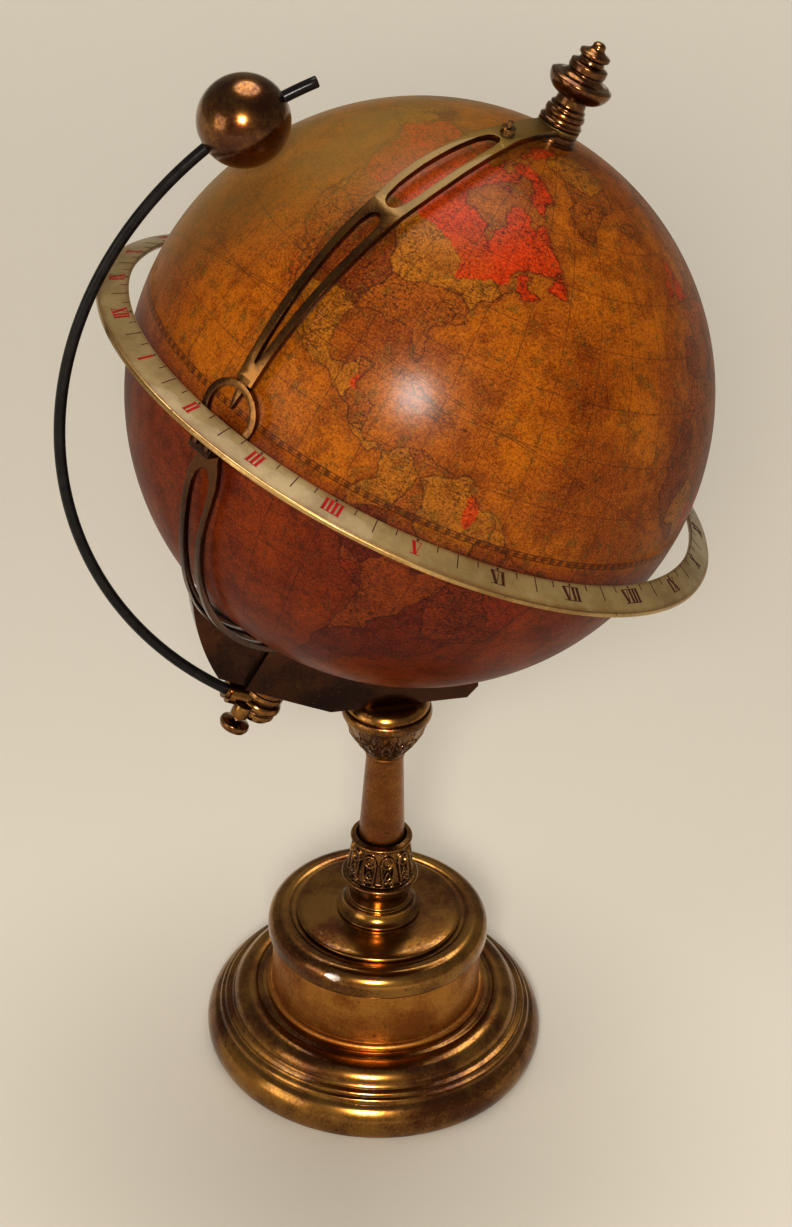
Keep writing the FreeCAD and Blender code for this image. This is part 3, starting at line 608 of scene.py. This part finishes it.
def make_scroll_band():
    """Band of open scrolls standing on a dark recess between two beads."""
    motifs = 10
    motif_width = 7.6
    depth = 1.15
    low, high = 80.6, 94.8

    def relief(angle, radius, height):
        if radius < 10.5 or height <= low or height >= high:
            return np.zeros_like(angle)
        cell = 2 * math.pi / motifs
        u = (np.mod(angle, cell) / cell - 0.5) * motif_width
        v = height - 0.5 * (low + high)
        side = np.abs(u)
        raised = stroke(u, v, (0.0, 3.0), 2.3, 0.85)
        raised = np.maximum(raised, np.clip(1.5 - np.abs(side - 2.5 - 0.1 * v) / 0.5, 0, 1) * (v < 2.6))
        raised = np.maximum(raised, stroke(side, v, (0.9, -4.6), 0.9, 0.6))
        raised = np.maximum(raised, np.clip(1.5 - np.abs(side + v * 0.5 + 0.4) / 0.45, 0, 1) * (v > -3.6))
        near_edge = min(height - low, high - height)
        return (raised - 1.0) * depth * min(1.0, near_edge / 0.3)

    line = traced([(BORE, COLLAR_TOP), (14.0, COLLAR_TOP), (14.0, 79.6, 14.7, 78.6), (12.9, 80.0)])
    steps = 60
    line += [(12.9 - 2.0 * i / steps, 80.0 + 15.2 * i / steps) for i in range(1, steps + 1)]
    line += [(11.2, 95.6)] + along_arc((11.2, 95.6), (11.8, 96.4), (11.1, 97.2), 8)
    line += [(9.7, 97.6), (9.4, SHAFT_FOOT), (BORE, SHAFT_FOOT)]
    dress(lathe("scrolls", line, UPRIGHT, 480, relief, 60.0), "stand", "cast_brass", "scroll_band")


def make_leaf_cup():
    """Bell of two rows of pointed leaves under a beaded rim."""
    leaves = 14
    low, high = 138.0, 153.6

    def relief(angle, radius, height):
        if radius < 6.0 or height <= low or height >= high:
            return np.zeros_like(angle)
        rise = (height - low) / (high - low)
        total = np.zeros_like(angle)
        for shift, top, depth in ((0.0, 1.0, 0.5), (0.5, 0.62, 0.9)):
            across = np.abs(np.mod(angle * leaves / (2 * math.pi) + shift, 1.0) * 2 - 1)
            half = np.sqrt(max(0.0, 1 - (rise / top) ** 2)) * 0.95
            inside = np.clip((half - across) / 0.2, 0, 1)
            vein = 0.35 * np.clip(1 - across / 0.16, 0, 1)
            ribs = 0.12 * np.cos(across * 14 + rise * 30)
            total = np.maximum(total, inside * (depth * (1 - 0.4 * across) - vein + ribs))
        return total * 0.9 - 0.55

    line = traced([(BORE, SHAFT_TOP), (7.3, SHAFT_TOP), (7.8, 138.0)])
    line += along_arc((7.8, 138.0), (12.8, 144.8), (16.4, 153.4), 70)
    line += along_arc((16.4, 153.4), (16.9, 155.6), (16.1, CUP_TOP), 10)
    line += [(BORE, CUP_TOP)]
    dress(lathe("leaves", line, UPRIGHT, 420, relief, 60.0), "stand", "cast_brass", "leaf_cup")


def make_metalwork():
    """Saddle, arms, bracket, screws, nuts and clamp: bevelled copies of their CAD shapes."""
    for name, node, width, body, slot, material in (
            ("saddle_cradle", "saddle", 0.45, "stand", "cast_brass", "saddle_brass"),
            ("arm_north", "meridian_arm_upper", 0.35, "stand", "arm_brass", "arm_brass"),
            ("arm_south", "meridian_arm_lower", 0.35, "stand", "arm_brass", "shaded_brass"),
            ("bracket", "ring_bracket", 0.3, "stand", "cast_brass", "saddle_brass"),
            ("ring_screws", "bracket_screws", 0.15, "stand", "cast_brass", "saddle_brass"),
            ("nut_south", "south_nut", 0.2, "stand", "knob_brass", "knob_brass"),
            ("nut_north", "north_nut", 0.2, "stand", "knob_brass", "knob_brass"),
            ("hub", "clamp_hub", 0.18, "sun_arm", "knob_brass", "knob_brass"),
            ("ferrule", "rod_ferrule", 0.15, "sun_arm", "knob_brass", "knob_brass"),
            ("pivot_ring", "pivot_nut", 0.15, "stand", "knob_brass", "knob_brass")):
        dress(refined(name, node, width), body, slot, node, material=material)


# Chapter ring

NUMERAL_TOP = 1.9          # millimetres outwards from the dial's inner edge
NUMERAL_FOOT = 6.9
MARK_START = 0.55
NUMERALS = ("XII", "I", "II", "III", "IIII", "V", "VI", "VII", "VIII", "IX", "X", "XI")

# Width of each character and its strokes, each as the left and right of its top, then of its foot.
GLYPHS = {
    "I": (1.75, [(-0.52, 0.52, -0.52, 0.52)]),
    "V": (3.6, [(-1.75, -0.55, -0.45, 0.55), (1.30, 1.55, 0.15, 0.45)]),
    "X": (3.9, [(-1.75, -0.55, 0.55, 1.75), (1.30, 1.60, -1.60, -1.30)]),
}


def ring_height(radius):
    return RING_TOP + (radius - RING_IN) * (RING_EDGE - RING_TOP) / (RING_OUT - RING_IN)


def on_ring(degrees, across, down, lift):
    """Point of the dial at an hour angle: across is to the right and down is outwards."""
    slope = math.atan2(RING_TOP - RING_EDGE, RING_OUT - RING_IN)
    radius = RING_IN + down * math.cos(slope) + lift * math.sin(slope)
    height = RING_TOP - down * math.sin(slope) + lift * math.cos(slope)
    angle = math.radians(degrees) + math.atan2(across, radius)
    reach = math.hypot(radius, across)
    return (reach * math.cos(angle), reach * math.sin(angle), height)


def bar(half, top, foot):
    return [(-half, top), (half, top), (half, foot), (-half, foot)]


def numeral_strokes(text):
    """Four-sided strokes of a numeral between two serif lines."""
    place = -sum(GLYPHS[glyph][0] for glyph in text) / 2
    strokes = []
    for glyph in text:
        width, shapes = GLYPHS[glyph]
        middle = place + width / 2
        for top_left, top_right, foot_left, foot_right in shapes:
            strokes.append([(middle + top_left, NUMERAL_TOP), (middle + top_right, NUMERAL_TOP),
                            (middle + foot_right, NUMERAL_FOOT), (middle + foot_left, NUMERAL_FOOT)])
        place += width
    return strokes + [bar(place - 0.1, y - 0.11, y + 0.11) for y in (NUMERAL_TOP, NUMERAL_FOOT)]


def make_dial():
    thick = 1.5
    enamel = 0.25
    line = [(RING_IN, RING_TOP - thick), (RING_OUT, RING_EDGE - thick), (RING_OUT, RING_EDGE),
            (RING_IN, RING_TOP)]
    lathed("ring", "chapter_ring", line, 360, 0.3, slot="ring_brass", matrix=POLAR)
    inner, outer = RING_IN + 0.5, RING_OUT - 0.5
    face = [(inner, ring_height(inner)), (outer, ring_height(outer)), (outer, ring_height(outer) + enamel),
            (inner, ring_height(inner) + enamel)]
    lathed("dial_face", "ring_face", face, 360, 0.08, slot="dial_ivory", matrix=POLAR)

    marks = {"red": [], "black": []}
    for quarter in range(96):
        degrees = 180.0 + quarter * 3.75
        if quarter % 4 == 0:
            hour = quarter // 4
            ink = "red" if hour < 6 or hour > 18 else "black"      # red from VII to V, about the first XII
            marks[ink] += [(degrees, shape) for shape in numeral_strokes(NUMERALS[hour % 12])]
            mark = [(0.0, MARK_START), (0.55, 1.05), (0.0, 1.75), (-0.55, 1.05)]
        else:
            mark = bar(0.17, MARK_START, 6.0 if quarter % 2 == 0 else 2.9)
        marks["black"].append((degrees, mark))
    sides = [(i, (i + 1) % 4, 4 + (i + 1) % 4, 4 + i) for i in range(4)]
    for ink, shapes in marks.items():
        points, faces = [], []
        for degrees, shape in shapes:
            faces += [[len(points) + n for n in face] for face in [(3, 2, 1, 0), (4, 5, 6, 7)] + sides]
            for lift in (enamel - 0.05, enamel + 0.05):
                points += [on_ring(degrees, x, y, lift) for x, y in shape]
        piece = mesh_object("marks_" + ink, points, faces, POLAR)
        dress(piece, "stand", "dial_ivory", material="numeral_" + ink)


# Globe and its map

# Outlines in degrees of longitude and latitude, in turn.
COASTS = {
    "north_america": """
    -168 65.6 -162 66.5 -166.5 68.3 -162 70.3 -156.5 71.3 -150 70.5 -141 69.6 -135 69.4 -128 70.2 -124 69.8
    -116 69 -114 67.8 -108 68 -102 68 -96 68.2 -94.5 72 -91.5 69.6 -88 68.5 -85.5 69.8 -81.5 69.2 -81.5 67.4
    -85.5 66.3 -88 64.5 -91 63.3 -94 61 -94.5 58.8 -92.5 57 -88 56.5 -82.3 55.2 -82.2 53 -80.5 51.3 -78.8 52
    -79.5 54.6 -76.8 56.5 -78.2 59 -77.5 61.5 -74 62.3 -70 61 -69.6 59 -67 58.4 -64.7 60.3 -62 57.8 -60 55.3
    -57 53.8 -55.7 52.2 -59 50.3 -64 50.2 -67 49.3 -70 47.2 -66.5 48.8 -64.3 48.7 -65.5 47.5 -64.8 46.3 -61
    45.5 -63.5 44.5 -66 43.5 -66 44.8 -67.5 44.6 -70 43.7 -70.2 41.8 -72.5 41.2 -74 40.6 -74.8 39 -75.8 37.2
    -75.6 35.3 -78 34 -81 32 -81.4 30.4 -80 27 -80.3 25.3 -81.4 25.3 -82.8 27.8 -84 30 -85.3 29.7 -88 30.3
    -89.3 29 -92 29.5 -95 29.2 -97.3 27.5 -97.6 24.5 -97.8 22.2 -96 19 -94.4 18 -91.7 18.6 -90.5 20 -90.2 21
    -87 21.5 -87.6 19.5 -88.2 17.5 -88.7 16 -86 16 -83.2 15 -83.6 12.5 -83.6 10.8 -82 9 -79.6 9.6 -77.4 8.6
    -77.6 7.4 -78.3 8.4 -79.5 9 -80.3 7.3 -82.8 8.2 -83.7 8.6 -85.8 10 -87.5 12.8 -90 13.8 -92.3 14.6 -94.5
    16.2 -98 16 -101.5 17.5 -104 19 -105.6 20.5 -106.4 23.3 -109.3 25.7 -111 28 -113 31.2 -114.8 31.7 -114.4
    30 -112 27 -110.5 24.3 -109.8 23 -112 24.7 -114.8 27.4 -116 30.2 -117.2 32.8 -120.5 34.5 -122.4 37.5
    -124.3 40.4 -124 44 -124.6 48.3 -122.8 48.8 -127 51 -130.3 54.5 -133.5 57.5 -137 58.8 -141.5 60 -147.5
    60.8 -151.8 59.3 -151 61 -154 59.2 -158.5 56.3 -164.5 54.7 -160 57.3 -157.5 58.8 -162 58.7 -165.5 61 -165
    63 -161 64.3 -166 64.5""",
    "south_america": """
    -77.4 8.7 -75.5 10.7 -73 11.4 -71.6 12.4 -71.4 11 -70 12.2 -68.3 10.8 -64 10 -62 10.7 -60.8 8.6 -57 6 -54
    6 -51.8 4.6 -50.3 1.8 -50 0 -48.4 -1 -44.5 -2.6 -41.5 -3 -38.5 -3.8 -35.4 -5.2 -34.8 -7.5 -37 -11 -38.8
    -13.2 -39.2 -17.7 -40.8 -21.5 -42 -23 -45 -23.5 -48.4 -26 -48.8 -28.5 -51.5 -31.8 -54 -34.6 -57.8 -34.4
    -57 -36.5 -61.8 -39 -65 -41 -63.7 -42.5 -67.3 -46 -65.8 -47.8 -69 -51.5 -68.3 -53 -65.3 -54.8 -68.5 -55.6
    -73 -53 -75.5 -50 -74.5 -46 -73 -42 -73.5 -37.5 -71.6 -33 -71.4 -29 -70.3 -23 -70.3 -18.4 -75 -15.6 -77
    -12.2 -79.7 -7 -81.2 -5 -80.2 -3.2 -80.8 -1 -80 1 -78.5 2.6 -77.3 4 -77.8 7""",
    "greenland": """
    -73 78.3 -67 76 -60 76 -55 72.5 -51 69.5 -53.5 66.8 -51.5 63.8 -48 61 -43.7 60 -42 62.5 -38 65.8 -32 68.2
    -24.5 70 -22 72.5 -19.5 75.5 -17.5 80 -25 82.3 -40 83.4 -55 82.3 -65 80.5""",
    "baffin": """
    -81 73.7 -75 72.7 -68.5 70.5 -61.8 66.8 -66 65.2 -64.8 62 -68 62.8 -73 64.6 -73.5 67.5 -77 70 -84 70.2
    -89.5 71.2 -86 73.5""",
    "victoria": "-105.5 69.2 -113 68.6 -117 70.2 -118.5 72 -112 73 -105.5 73.2 -104.5 71",
    "banks": "-125.5 72 -120 71.8 -116.5 73.4 -123.5 74.3",
    "melville": "-117 75.4 -106 75 -109 76.6",
    "devon": "-92 76.5 -80.5 75.7 -80.2 74.7 -91 74.8",
    "ellesmere": "-90 76.7 -78.5 76.3 -74.5 79.3 -62.5 82.5 -72 83 -88 82 -95 79.5 -88 78.2",
    "southampton": "-86.5 64 -81 64 -84 66",
    "newfoundland": "-59.3 47.8 -55.7 47 -53 47 -53.5 49 -55.7 51.5 -57.3 50.5",
    "cuba": "-84.8 22 -81.5 23 -77.2 21.7 -74.3 20.2 -77.5 20 -78.2 21 -81.8 22",
    "hispaniola": "-74.3 18.5 -72.8 20 -70 19.7 -68.5 18.5 -71.3 17.8",
    "jamaica": "-78.3 18.3 -76.3 18.2 -77.2 17.8",
    "puerto_rico": "-67.2 18.5 -65.7 18.4 -66 18 -67.2 18",
    "trinidad": "-62 10 -61 10.8 -61 10",
    "eurasia": """
    -9.4 39 -9 42 -9 43 -4 43.5 -1.6 43.4 -1 46 -4.7 48.3 -1.6 48.7 -1.6 49.7 1.6 51 4 52 7 53.6 8 55.5 10.5
    57.6 10 54.7 14 54 18.5 54.7 21 56.5 23.5 59 30 60 23 60 21.5 61.5 25.3 65 22 65.7 17.3 62 18.7 60 16.5
    57 14.3 55.5 12.6 56 11 59 7.5 58 5 61.5 10.5 64.3 14.5 68 25.7 71 31 70.3 41 67.7 38.5 66 34.5 66.6 35
    64.4 40 64.7 43.5 66 44 68.3 53.5 68.5 60.5 70 68 68.5 67 71.3 72.7 73 73.5 71 80.5 73.3 87 75 104 77.6
    113 74 127 73.4 140 72.6 160 69.7 170 70 180 69 190 66 181 65 178 62.5 170.3 60 164 60 162.5 56 156.7 51
    156 56 163 62 157 61.7 154.5 59.5 143 59.3 135.5 54.7 141 52.5 140.5 48.5 135.5 44 132 43 128 40 129.4 36
    126.5 34.4 126 37.5 124.5 40 121.5 39 122 40.7 118 39 119 37.3 122.5 37 119.3 35 122 31.5 121 28 118 24.5
    114 22.4 110.3 20.5 106.5 20 109 16 109 12 106.7 10.3 105 8.6 102.5 12 100.5 13.4 99.5 10 103.4 5 104 1.4
    101 3 98.3 8 98.5 13 97.3 16.5 94.4 16 92 21.5 90 22 87 21.3 82.3 16.7 80 13.3 80 10.3 77.5 8 75 12 73 17
    73 21 70.3 21 69 22.4 67 25 61.5 25 57 27 51 28 48.7 30 48 29 50 26.5 54.5 24 56.3 26 60 22.5 57 19 52 16
    45 13 43.3 12.7 42.7 16.5 39 21.5 35 28 35 29.5 34 28 32.5 30 32.3 31 34.3 31.4 36 36 32.5 36 30.5 36.6
    27.5 37 26.3 39.3 29 41 35 42 41.5 41.5 37.5 44.7 36.5 45.3 33.5 44.5 31 46.5 28.7 44 28 42 29 41 26 40.7
    23.5 40 24 37.7 22.5 36.5 21.3 38 19.4 41 19.5 42 14.5 45 12.3 45.4 13.6 43.5 16 42 18.5 40 17 40.4 17 39
    16 38 15.6 40 12.3 41.7 10.3 44 9 44.4 6 43 3 43 3 41.7 0 39.5 -0.5 38 -2 37 -5.6 36 -6.4 37 -9 37""",
    "africa": """
    -6 36 -2 35 10 37.3 11 34 15.3 32.3 20 31 20 33 25 31.6 32.3 31 32.6 30 34 26.5 37 21 39.5 15.5 43 12
    43.5 11.3 51.3 12 48 4.5 41.5 -2 39 -6.5 40.7 -15 35 -20 35.4 -24 32.7 -28 28 -33 20 -35 18.3 -33.5 15
    -27 12 -17.5 13.7 -11 12 -6 9 -0.7 9.6 4 5.5 4.4 4.3 6.3 -2 5 -7.5 4.4 -13 8.5 -16.7 12.4 -17.4 14.7 -16
    19 -17 21 -13 27.7 -9.7 30.5""",
    "madagascar": "49.3 -12 50.3 -15.5 47 -25 43.7 -23.5 44.4 -16.3",
    "britain": "-5.5 50 1.3 51 1.6 53 -1.5 55 -2 57.6 -4 58.6 -6 56.5 -3 55 -4.5 53 -5 51.7",
    "ireland": "-10 51.6 -6.3 52 -6 54.5 -8 55.3 -10 54",
    "iceland": "-24 65.5 -22 64 -18.5 63.4 -13.7 65 -16 66.4 -22.5 66.4",
    "sardinia": "8.3 39 9.7 39 9.6 43 8.6 42.4",
    "sicily": "12.5 38 15.6 38 15 36.7",
    "ceylon": "80 8 80 6 82 7 80.5 9.7",
    "honshu": "131 34 135.5 33.6 140 35 142 39.5 141 41.4 140 39 136.5 37 132.5 35.4",
    "kyushu": "130 33.5 131.7 33 130.7 31",
    "hokkaido": "140 41.5 143.3 42 145.5 43.3 142 45.4",
    "sakhalin": "142 46 143.5 49.3 143 54 142 51",
    "formosa": "120 23 121 22 122 25",
    "hainan": "108.7 19 111 20 109.5 18.3",
    "luzon": "120.5 14 120.5 18.4 122 18.3 122 14.5 124 13",
    "mindanao": "122 7 125.5 9.7 126.5 7 125.3 5.7",
    "borneo": "109 1.5 113 3 117 7 119 5 117.5 1 116 -4 110.3 -3",
    "sumatra": "95.3 5.6 100.3 2.7 106 -3 105.7 -6 100.5 -1",
    "java": "105.3 -6.7 108.6 -6.6 114.3 -7.7 114 -8.7 106.5 -7.4",
    "celebes": "119.5 -5.5 120.4 -2.7 123 -1 121 0.4 125 1.5 120 1 119 -2.5",
    "new_guinea": """
    131 -1 134.3 -1 135.5 -3.3 141 -2.6 147.5 -6 150.5 -10.5 146.5 -9 143 -9 138.5 -8.3 138 -5.5 133 -4""",
    "australia": """
    142.5 -11 145.5 -15 149.3 -20.7 153 -25.5 153 -30 150 -37.3 146.3 -39 140.5 -38 138.3 -35 137.7 -33 135
    -34.7 131.3 -31.5 124 -33 118 -35 115 -34 116 -31.5 113.6 -26 114 -22 121.5 -19 126 -14 131 -11.6 136 -12
    136 -15 139.5 -17.5 141.5 -16""",
    "tasmania": "144.7 -41 148.3 -41 147 -43.5 146 -43",
    "zealand_north": "173 -34.4 175.4 -37 178.4 -37.7 175.3 -41.5 174 -39.3",
    "zealand_south": "172.7 -40.6 174 -41.7 170.6 -46 168.4 -46.6 166.5 -46",
    "antarctica": """
    -180 -78 -150 -77 -130 -74 -100 -73 -75 -71 -62 -65 -57 -63.3 -60 -68 -62 -75 -40 -78 -20 -74 0 -70 30
    -69.5 60 -67 90 -66.5 120 -66.5 150 -68.5 165 -72 170 -77 180 -78 180 -92 -180 -92""",
}

RED_LANDS = {
    "canada": """
    -141 86 -141 60.2 -135 59.5 -130 55.5 -133 53 -128 48.6 -124.5 48.3 -123 49 -95.2 49 -89.5 48 -84.5 46.5
    -82.5 45.3 -82.5 42 -79 42.8 -76.5 44.2 -74.8 45 -71.5 45 -70.3 46.2 -69 47.4 -67.8 47 -67.5 45.2 -67 44
    -64 42 -50 45 -52 55 -61 60 -60 66 -75 75 -74 78 -60 83 -80 86""",
    "honduras": "-89.3 18.4 -87.5 18.4 -88 16 -89.3 16",
    "guiana": "-60.5 8.5 -57.3 7.5 -57.3 4 -58.5 1.5 -60 3.5",
    "isles": "-11 50 2.5 50.5 2.5 60 -11 59.5",
    "africa_south": """
    12 -28.6 20 -28 20 -22 24 -18 24 -11 33 -9 30.5 -4 29.7 0 31 4 24 10 24 20 31 22 38 22 38 16 36 11 35 5
    41.5 4 43 -2 41 -11 35 -12 33 -17 32 -22 34 -27 30 -37 15 -36""",
    "nigeria": "3 3 3.5 12 13 13.5 9 4",
    "gold_coast": "-3 4 -3 11 1 11 1 4",
    "india": """
    66 22 61.5 24 61.5 29 66.5 29.5 70 34 75 37 79 32 88 27.5 97 28.5 98.5 24 101 21 98 9 92 13 85 8 80 4 74
    6""",
    "malaya": "99 7 105 6 105 0 99 3",
    "borneo_north": "109 2 114 6 117 9 121 5 116 2 110 1",
    "papua": "141 -1 141 -12 156 -13 156 -1",
    "australia": "110 -9.5 110 -46 156 -46 156 -24 142.5 -9.5",
    "zealand": "164 -33 180 -33 180 -49 164 -49",
}


def signed_distance(text, longitude, latitude):
    """Degrees from each point to a closed outline, positive inside."""
    numbers = np.array([float(word) for word in text.split()])
    lon, lat = numbers[0::2], numbers[1::2]
    middle = 0.5 * (lon.min() + lon.max())
    east = np.mod(longitude - middle + 180.0, 360.0) - 180.0 + middle
    squeeze = np.cos(np.radians(latitude))
    best = np.full(longitude.shape, 1e9)
    inside = np.zeros(longitude.shape, bool)
    for i in range(len(lon)):
        ax, ay, bx, by = lon[i - 1], lat[i - 1], lon[i], lat[i]
        px, py = (east - ax) * squeeze, latitude - ay
        dx, dy = (bx - ax) * squeeze, by - ay
        share = np.clip((px * dx + py * dy) / (dx * dx + dy * dy + 1e-9), 0, 1)
        best = np.minimum(best, (px - share * dx) ** 2 + (py - share * dy) ** 2)
        if ay != by:
            crosses = (ay > latitude) != (by > latitude)
            inside ^= crosses & (east < ax + (latitude - ay) / (by - ay) * (bx - ax))
    return np.where(inside, 1.0, -1.0) * np.sqrt(best)


def add_distances(piece):
    """Stores the map's signed distances on the globe's outer points."""
    count = len(piece.data.vertices)
    flat = np.zeros(count * 3, np.float32)
    piece.data.vertices.foreach_get("co", flat)
    points = flat.reshape(-1, 3).astype(float) - np.array(CENTRE)
    points = points @ np.array(POLAR.to_3x3())
    reach = np.linalg.norm(points, axis=1)
    outer = reach > (GLOBE_R - 0.5 * SHELL) * MM
    chosen = points[outer]
    longitude = np.degrees(np.arctan2(chosen[:, 1], chosen[:, 0])) + MAP_TURN
    latitude = np.degrees(np.arcsin(np.clip(chosen[:, 2] / reach[outer], -1, 1)))
    land, red = [np.max([signed_distance(text, longitude, latitude) for text in outlines.values()], axis=0)
                 for outlines in (COASTS, RED_LANDS)]
    for name, values in (("land", land), ("empire", np.minimum(land, red))):
        full = np.full(count, -20.0, np.float32)
        full[outer] = np.clip(values, -20, 20)
        piece.data.attributes.new(name, "FLOAT", "POINT").data.foreach_set("value", full)


def quarter_arc(radius, hole, steps):
    """Points from the edge of a polar hole down to the equator."""
    edge = math.asin(hole / radius)
    angles = [edge + (math.pi / 2 - edge) * i / steps for i in range(steps + 1)]
    return [(radius * math.sin(angle), radius * math.cos(angle)) for angle in angles]


def make_globe():
    """Two hemispheres, each a closed shell with the map on its outside."""
    fine = 170
    hole = 8.0
    line = quarter_arc(GLOBE_R, hole, fine)[::-1] + quarter_arc(GLOBE_R - SHELL, hole, 12)
    for pole, side in (("north", 1), ("south", -1)):
        half = [(radius, side * height) for radius, height in line]
        piece = lathe("hemisphere_" + pole, half, POLAR, 4 * fine)
        add_distances(piece)
        dress(piece, "globe", "map_paper", "globe_shell_" + pole)


# Sun arm, ball, thumbscrew and finial

def sun_point(degrees):
    angle = math.radians(degrees)
    return Vector((SUN_X - SUN_R * math.cos(angle), 0.0, SUN_Z + SUN_R * math.sin(angle)))


def swept(name, stations, segments=40):
    """Closed round bar along the rod's arc, from stations of angle and radius. Its ends have no radius."""
    points, rings = [], []
    for degrees, radius in stations:
        angle = math.radians(degrees)
        centre = sun_point(degrees)
        out = Vector((-math.cos(angle), 0.0, math.sin(angle)))
        if radius == 0:
            rings.append([len(points)] * segments)
            points.append(tuple(centre))
            continue
        rings.append(list(range(len(points), len(points) + segments)))
        for i in range(segments):
            turn = -2 * math.pi * i / segments
            points.append(tuple(centre + radius * (out * math.cos(turn) + Vector((0, math.sin(turn), 0)))))
    return mesh_object(name, points, ring_faces(zip(rings, rings[1:])), POLAR)


def make_sun_arm():
    start, tip = -82.5, 45.5
    bend = math.degrees(0.4 / SUN_R)
    stations = [(start, 0), (start, 1.8), (start + bend / 2, 2.0)]
    stations += [(start + 1 + (tip - start - 2) * i / 120, 2.0) for i in range(121)]
    stations += [(tip - bend, 2.0), (tip - bend / 3, 1.85), (tip, 1.6), (tip, 0)]
    dress(swept("rod", stations), "sun_arm", "black_steel", "sun_rod")


def make_ball():
    """Hollow ball with a hole at each end, turned a little so that the holes meet the curved rod."""
    hole = 3.5
    steps = 48
    line = []
    for radius, order in ((BALL_R, 1), (BALL_R - 1.6, -1)):
        edge = math.asin(hole / radius)
        angles = [edge + (math.pi - 2 * edge) * i / steps for i in range(steps + 1)]
        line += [(radius * math.sin(angle), radius * math.cos(angle)) for angle in angles][::order]
    place = Matrix.Translation(sun_point(SUN_BALL) * MM) @ Matrix.Rotation(math.radians(SUN_BALL), 4, "Y")
    ball = lathe("ball", softened(line, 0.25), UPRIGHT, 128)
    lean = math.asin(BALL_R / (2 * SUN_R))
    for vertex in ball.data.vertices:
        height = vertex.co.z / vertex.co.length
        vertex.co = Matrix.Rotation(lean * height * height, 3, "Y") @ vertex.co
    ball.data.transform(POLAR @ place)
    dress(ball, "sun_ball", "knob_brass", "sun_ball")


def make_knobs():
    screw = [
        (0, -134.9), (1.6, -134.9), (1.6, -141.2), (2.4, -141.6), (5.4, -142.4), (5.7, -143.6), (5.0, -145.2),
        (2.8, -145.9), (0, -146.1)]
    lathed("thumb_knob", "thumbscrew", screw, 96, 0.3, body="thumbscrew", slot="knob_brass",
           matrix=POLAR @ Matrix.Translation(Vector((-7.4, -4.6, 0)) * MM))
    finial = [
        (0, 116.0), (2.62, 116.0), (2.62, 110.4), (6.3, 110.4), (6.3, 107.3), (7.5, 107.3), (7.6, 108.4),
        (6.9, 109.0), (6.7, 110.0), (7.1, 110.8), (6.9, 112.0), (6.1, 112.6), (6.3, 113.6), (5.4, 114.4),
        (5.2, 117.2), (11.0, 122.6, 8.8, 118.6), (11.0, 123.4), (9.4, 124.2), (6.2, 126.2, 7.4, 124.8),
        (6.7, 127.0), (6.6, 129.2), (4.6, 130.0), (4.3, 131.4), (5.4, 132.2), (5.4, 133.4), (3.0, 134.4),
        (2.3, 135.2), (2.2, 136.4), (1.4, 137.2), (0, 137.4)]
    lathed("finial_knob", "finial", finial, 128, 0.3, 12, "finial", "knob_brass", POLAR)


# Stage and light

def make_stage():
    reach, rise, count = 8.0, 6.0, 64
    edge = [cmath.rect(reach, 2 * math.pi * i / count) for i in range(count)]
    points = [(spot.real, spot.imag, level) for level in (0.0, rise) for spot in edge]
    walls = [(i, (i + 1) % count, count + (i + 1) % count, count + i) for i in range(count)]
    mesh = bpy.data.meshes.new("floor")
    mesh.from_pydata(points, [], [tuple(range(count))] + walls)
    floor = add_object("floor", mesh)
    shader, coords = new_material("floor_paint")
    # Painted light and shade: the floor is darker near the middle, where the key light falls, and paler far
    # out, where little of it reaches, so that it looks evenly pale.
    near = blended(noise(coords, 3.0), (0.475, 0.44, 0.385), (0.46, 0.43, 0.375))
    tone = laid(near, from_axis(coords), 0.3, 2.2, 0.0, 1.0, (0.72, 0.69, 0.61))
    fill(shader, {"Base Color": tone, "Roughness": 0.75, "Specular IOR Level": 0.2})
    floor.data.materials.append(FINISH["floor_paint"])


def add_light(name, place, size, power, tint, kind="AREA"):
    """Soft light on the object. The size is a side in metres, or the angle in degrees for a sun."""
    data = bpy.data.lights.new(name, kind)
    if kind == "SUN":
        data.angle = math.radians(size)
    else:
        data.size = size
    data.energy = power
    data.color = tint
    light = add_object(name, data)
    light.location = place
    middle = Vector((0.0, 0.0, 0.22))
    light.rotation_euler = (middle - Vector(place)).to_track_quat("-Z", "Y").to_euler()


def make_light():
    world = bpy.data.worlds.new("world")
    world.use_nodes = True
    world.node_tree.nodes["Background"].inputs[0].default_value = (0.95, 0.92, 0.88, 1.0)
    world.node_tree.nodes["Background"].inputs[1].default_value = 0.26
    bpy.context.scene.world = world
    view = bpy.context.scene.view_settings
    view.view_transform = "Standard"
    view.gamma = 0.82
    view.exposure = 0.18
    add_light("key", (-0.42, -1.35, 1.05), 0.30, 30.0, (1.0, 0.96, 0.90))
    add_light("top", (0.3, 0.5, 1.9), 45.0, 2.1, (1.0, 0.97, 0.93), "SUN")
    add_light("side", (-1.7, -0.6, 0.6), 0.9, 6.0, (1.0, 0.95, 0.88))


def finish_nodes():
    """Gives each carried-over CAD node the finish of its slot."""
    for part in frame["record"]["subparts"]:
        node = frame["nodes"][part["node"]]
        node.data.materials.clear()
        node.data.materials.append(FINISH[part["material_slot"]])


make_camera()
make_materials()
finish_nodes()
make_base()
make_column()
make_metalwork()
make_dial()
make_globe()
make_sun_arm()
make_ball()
make_knobs()
make_stage()
make_light()
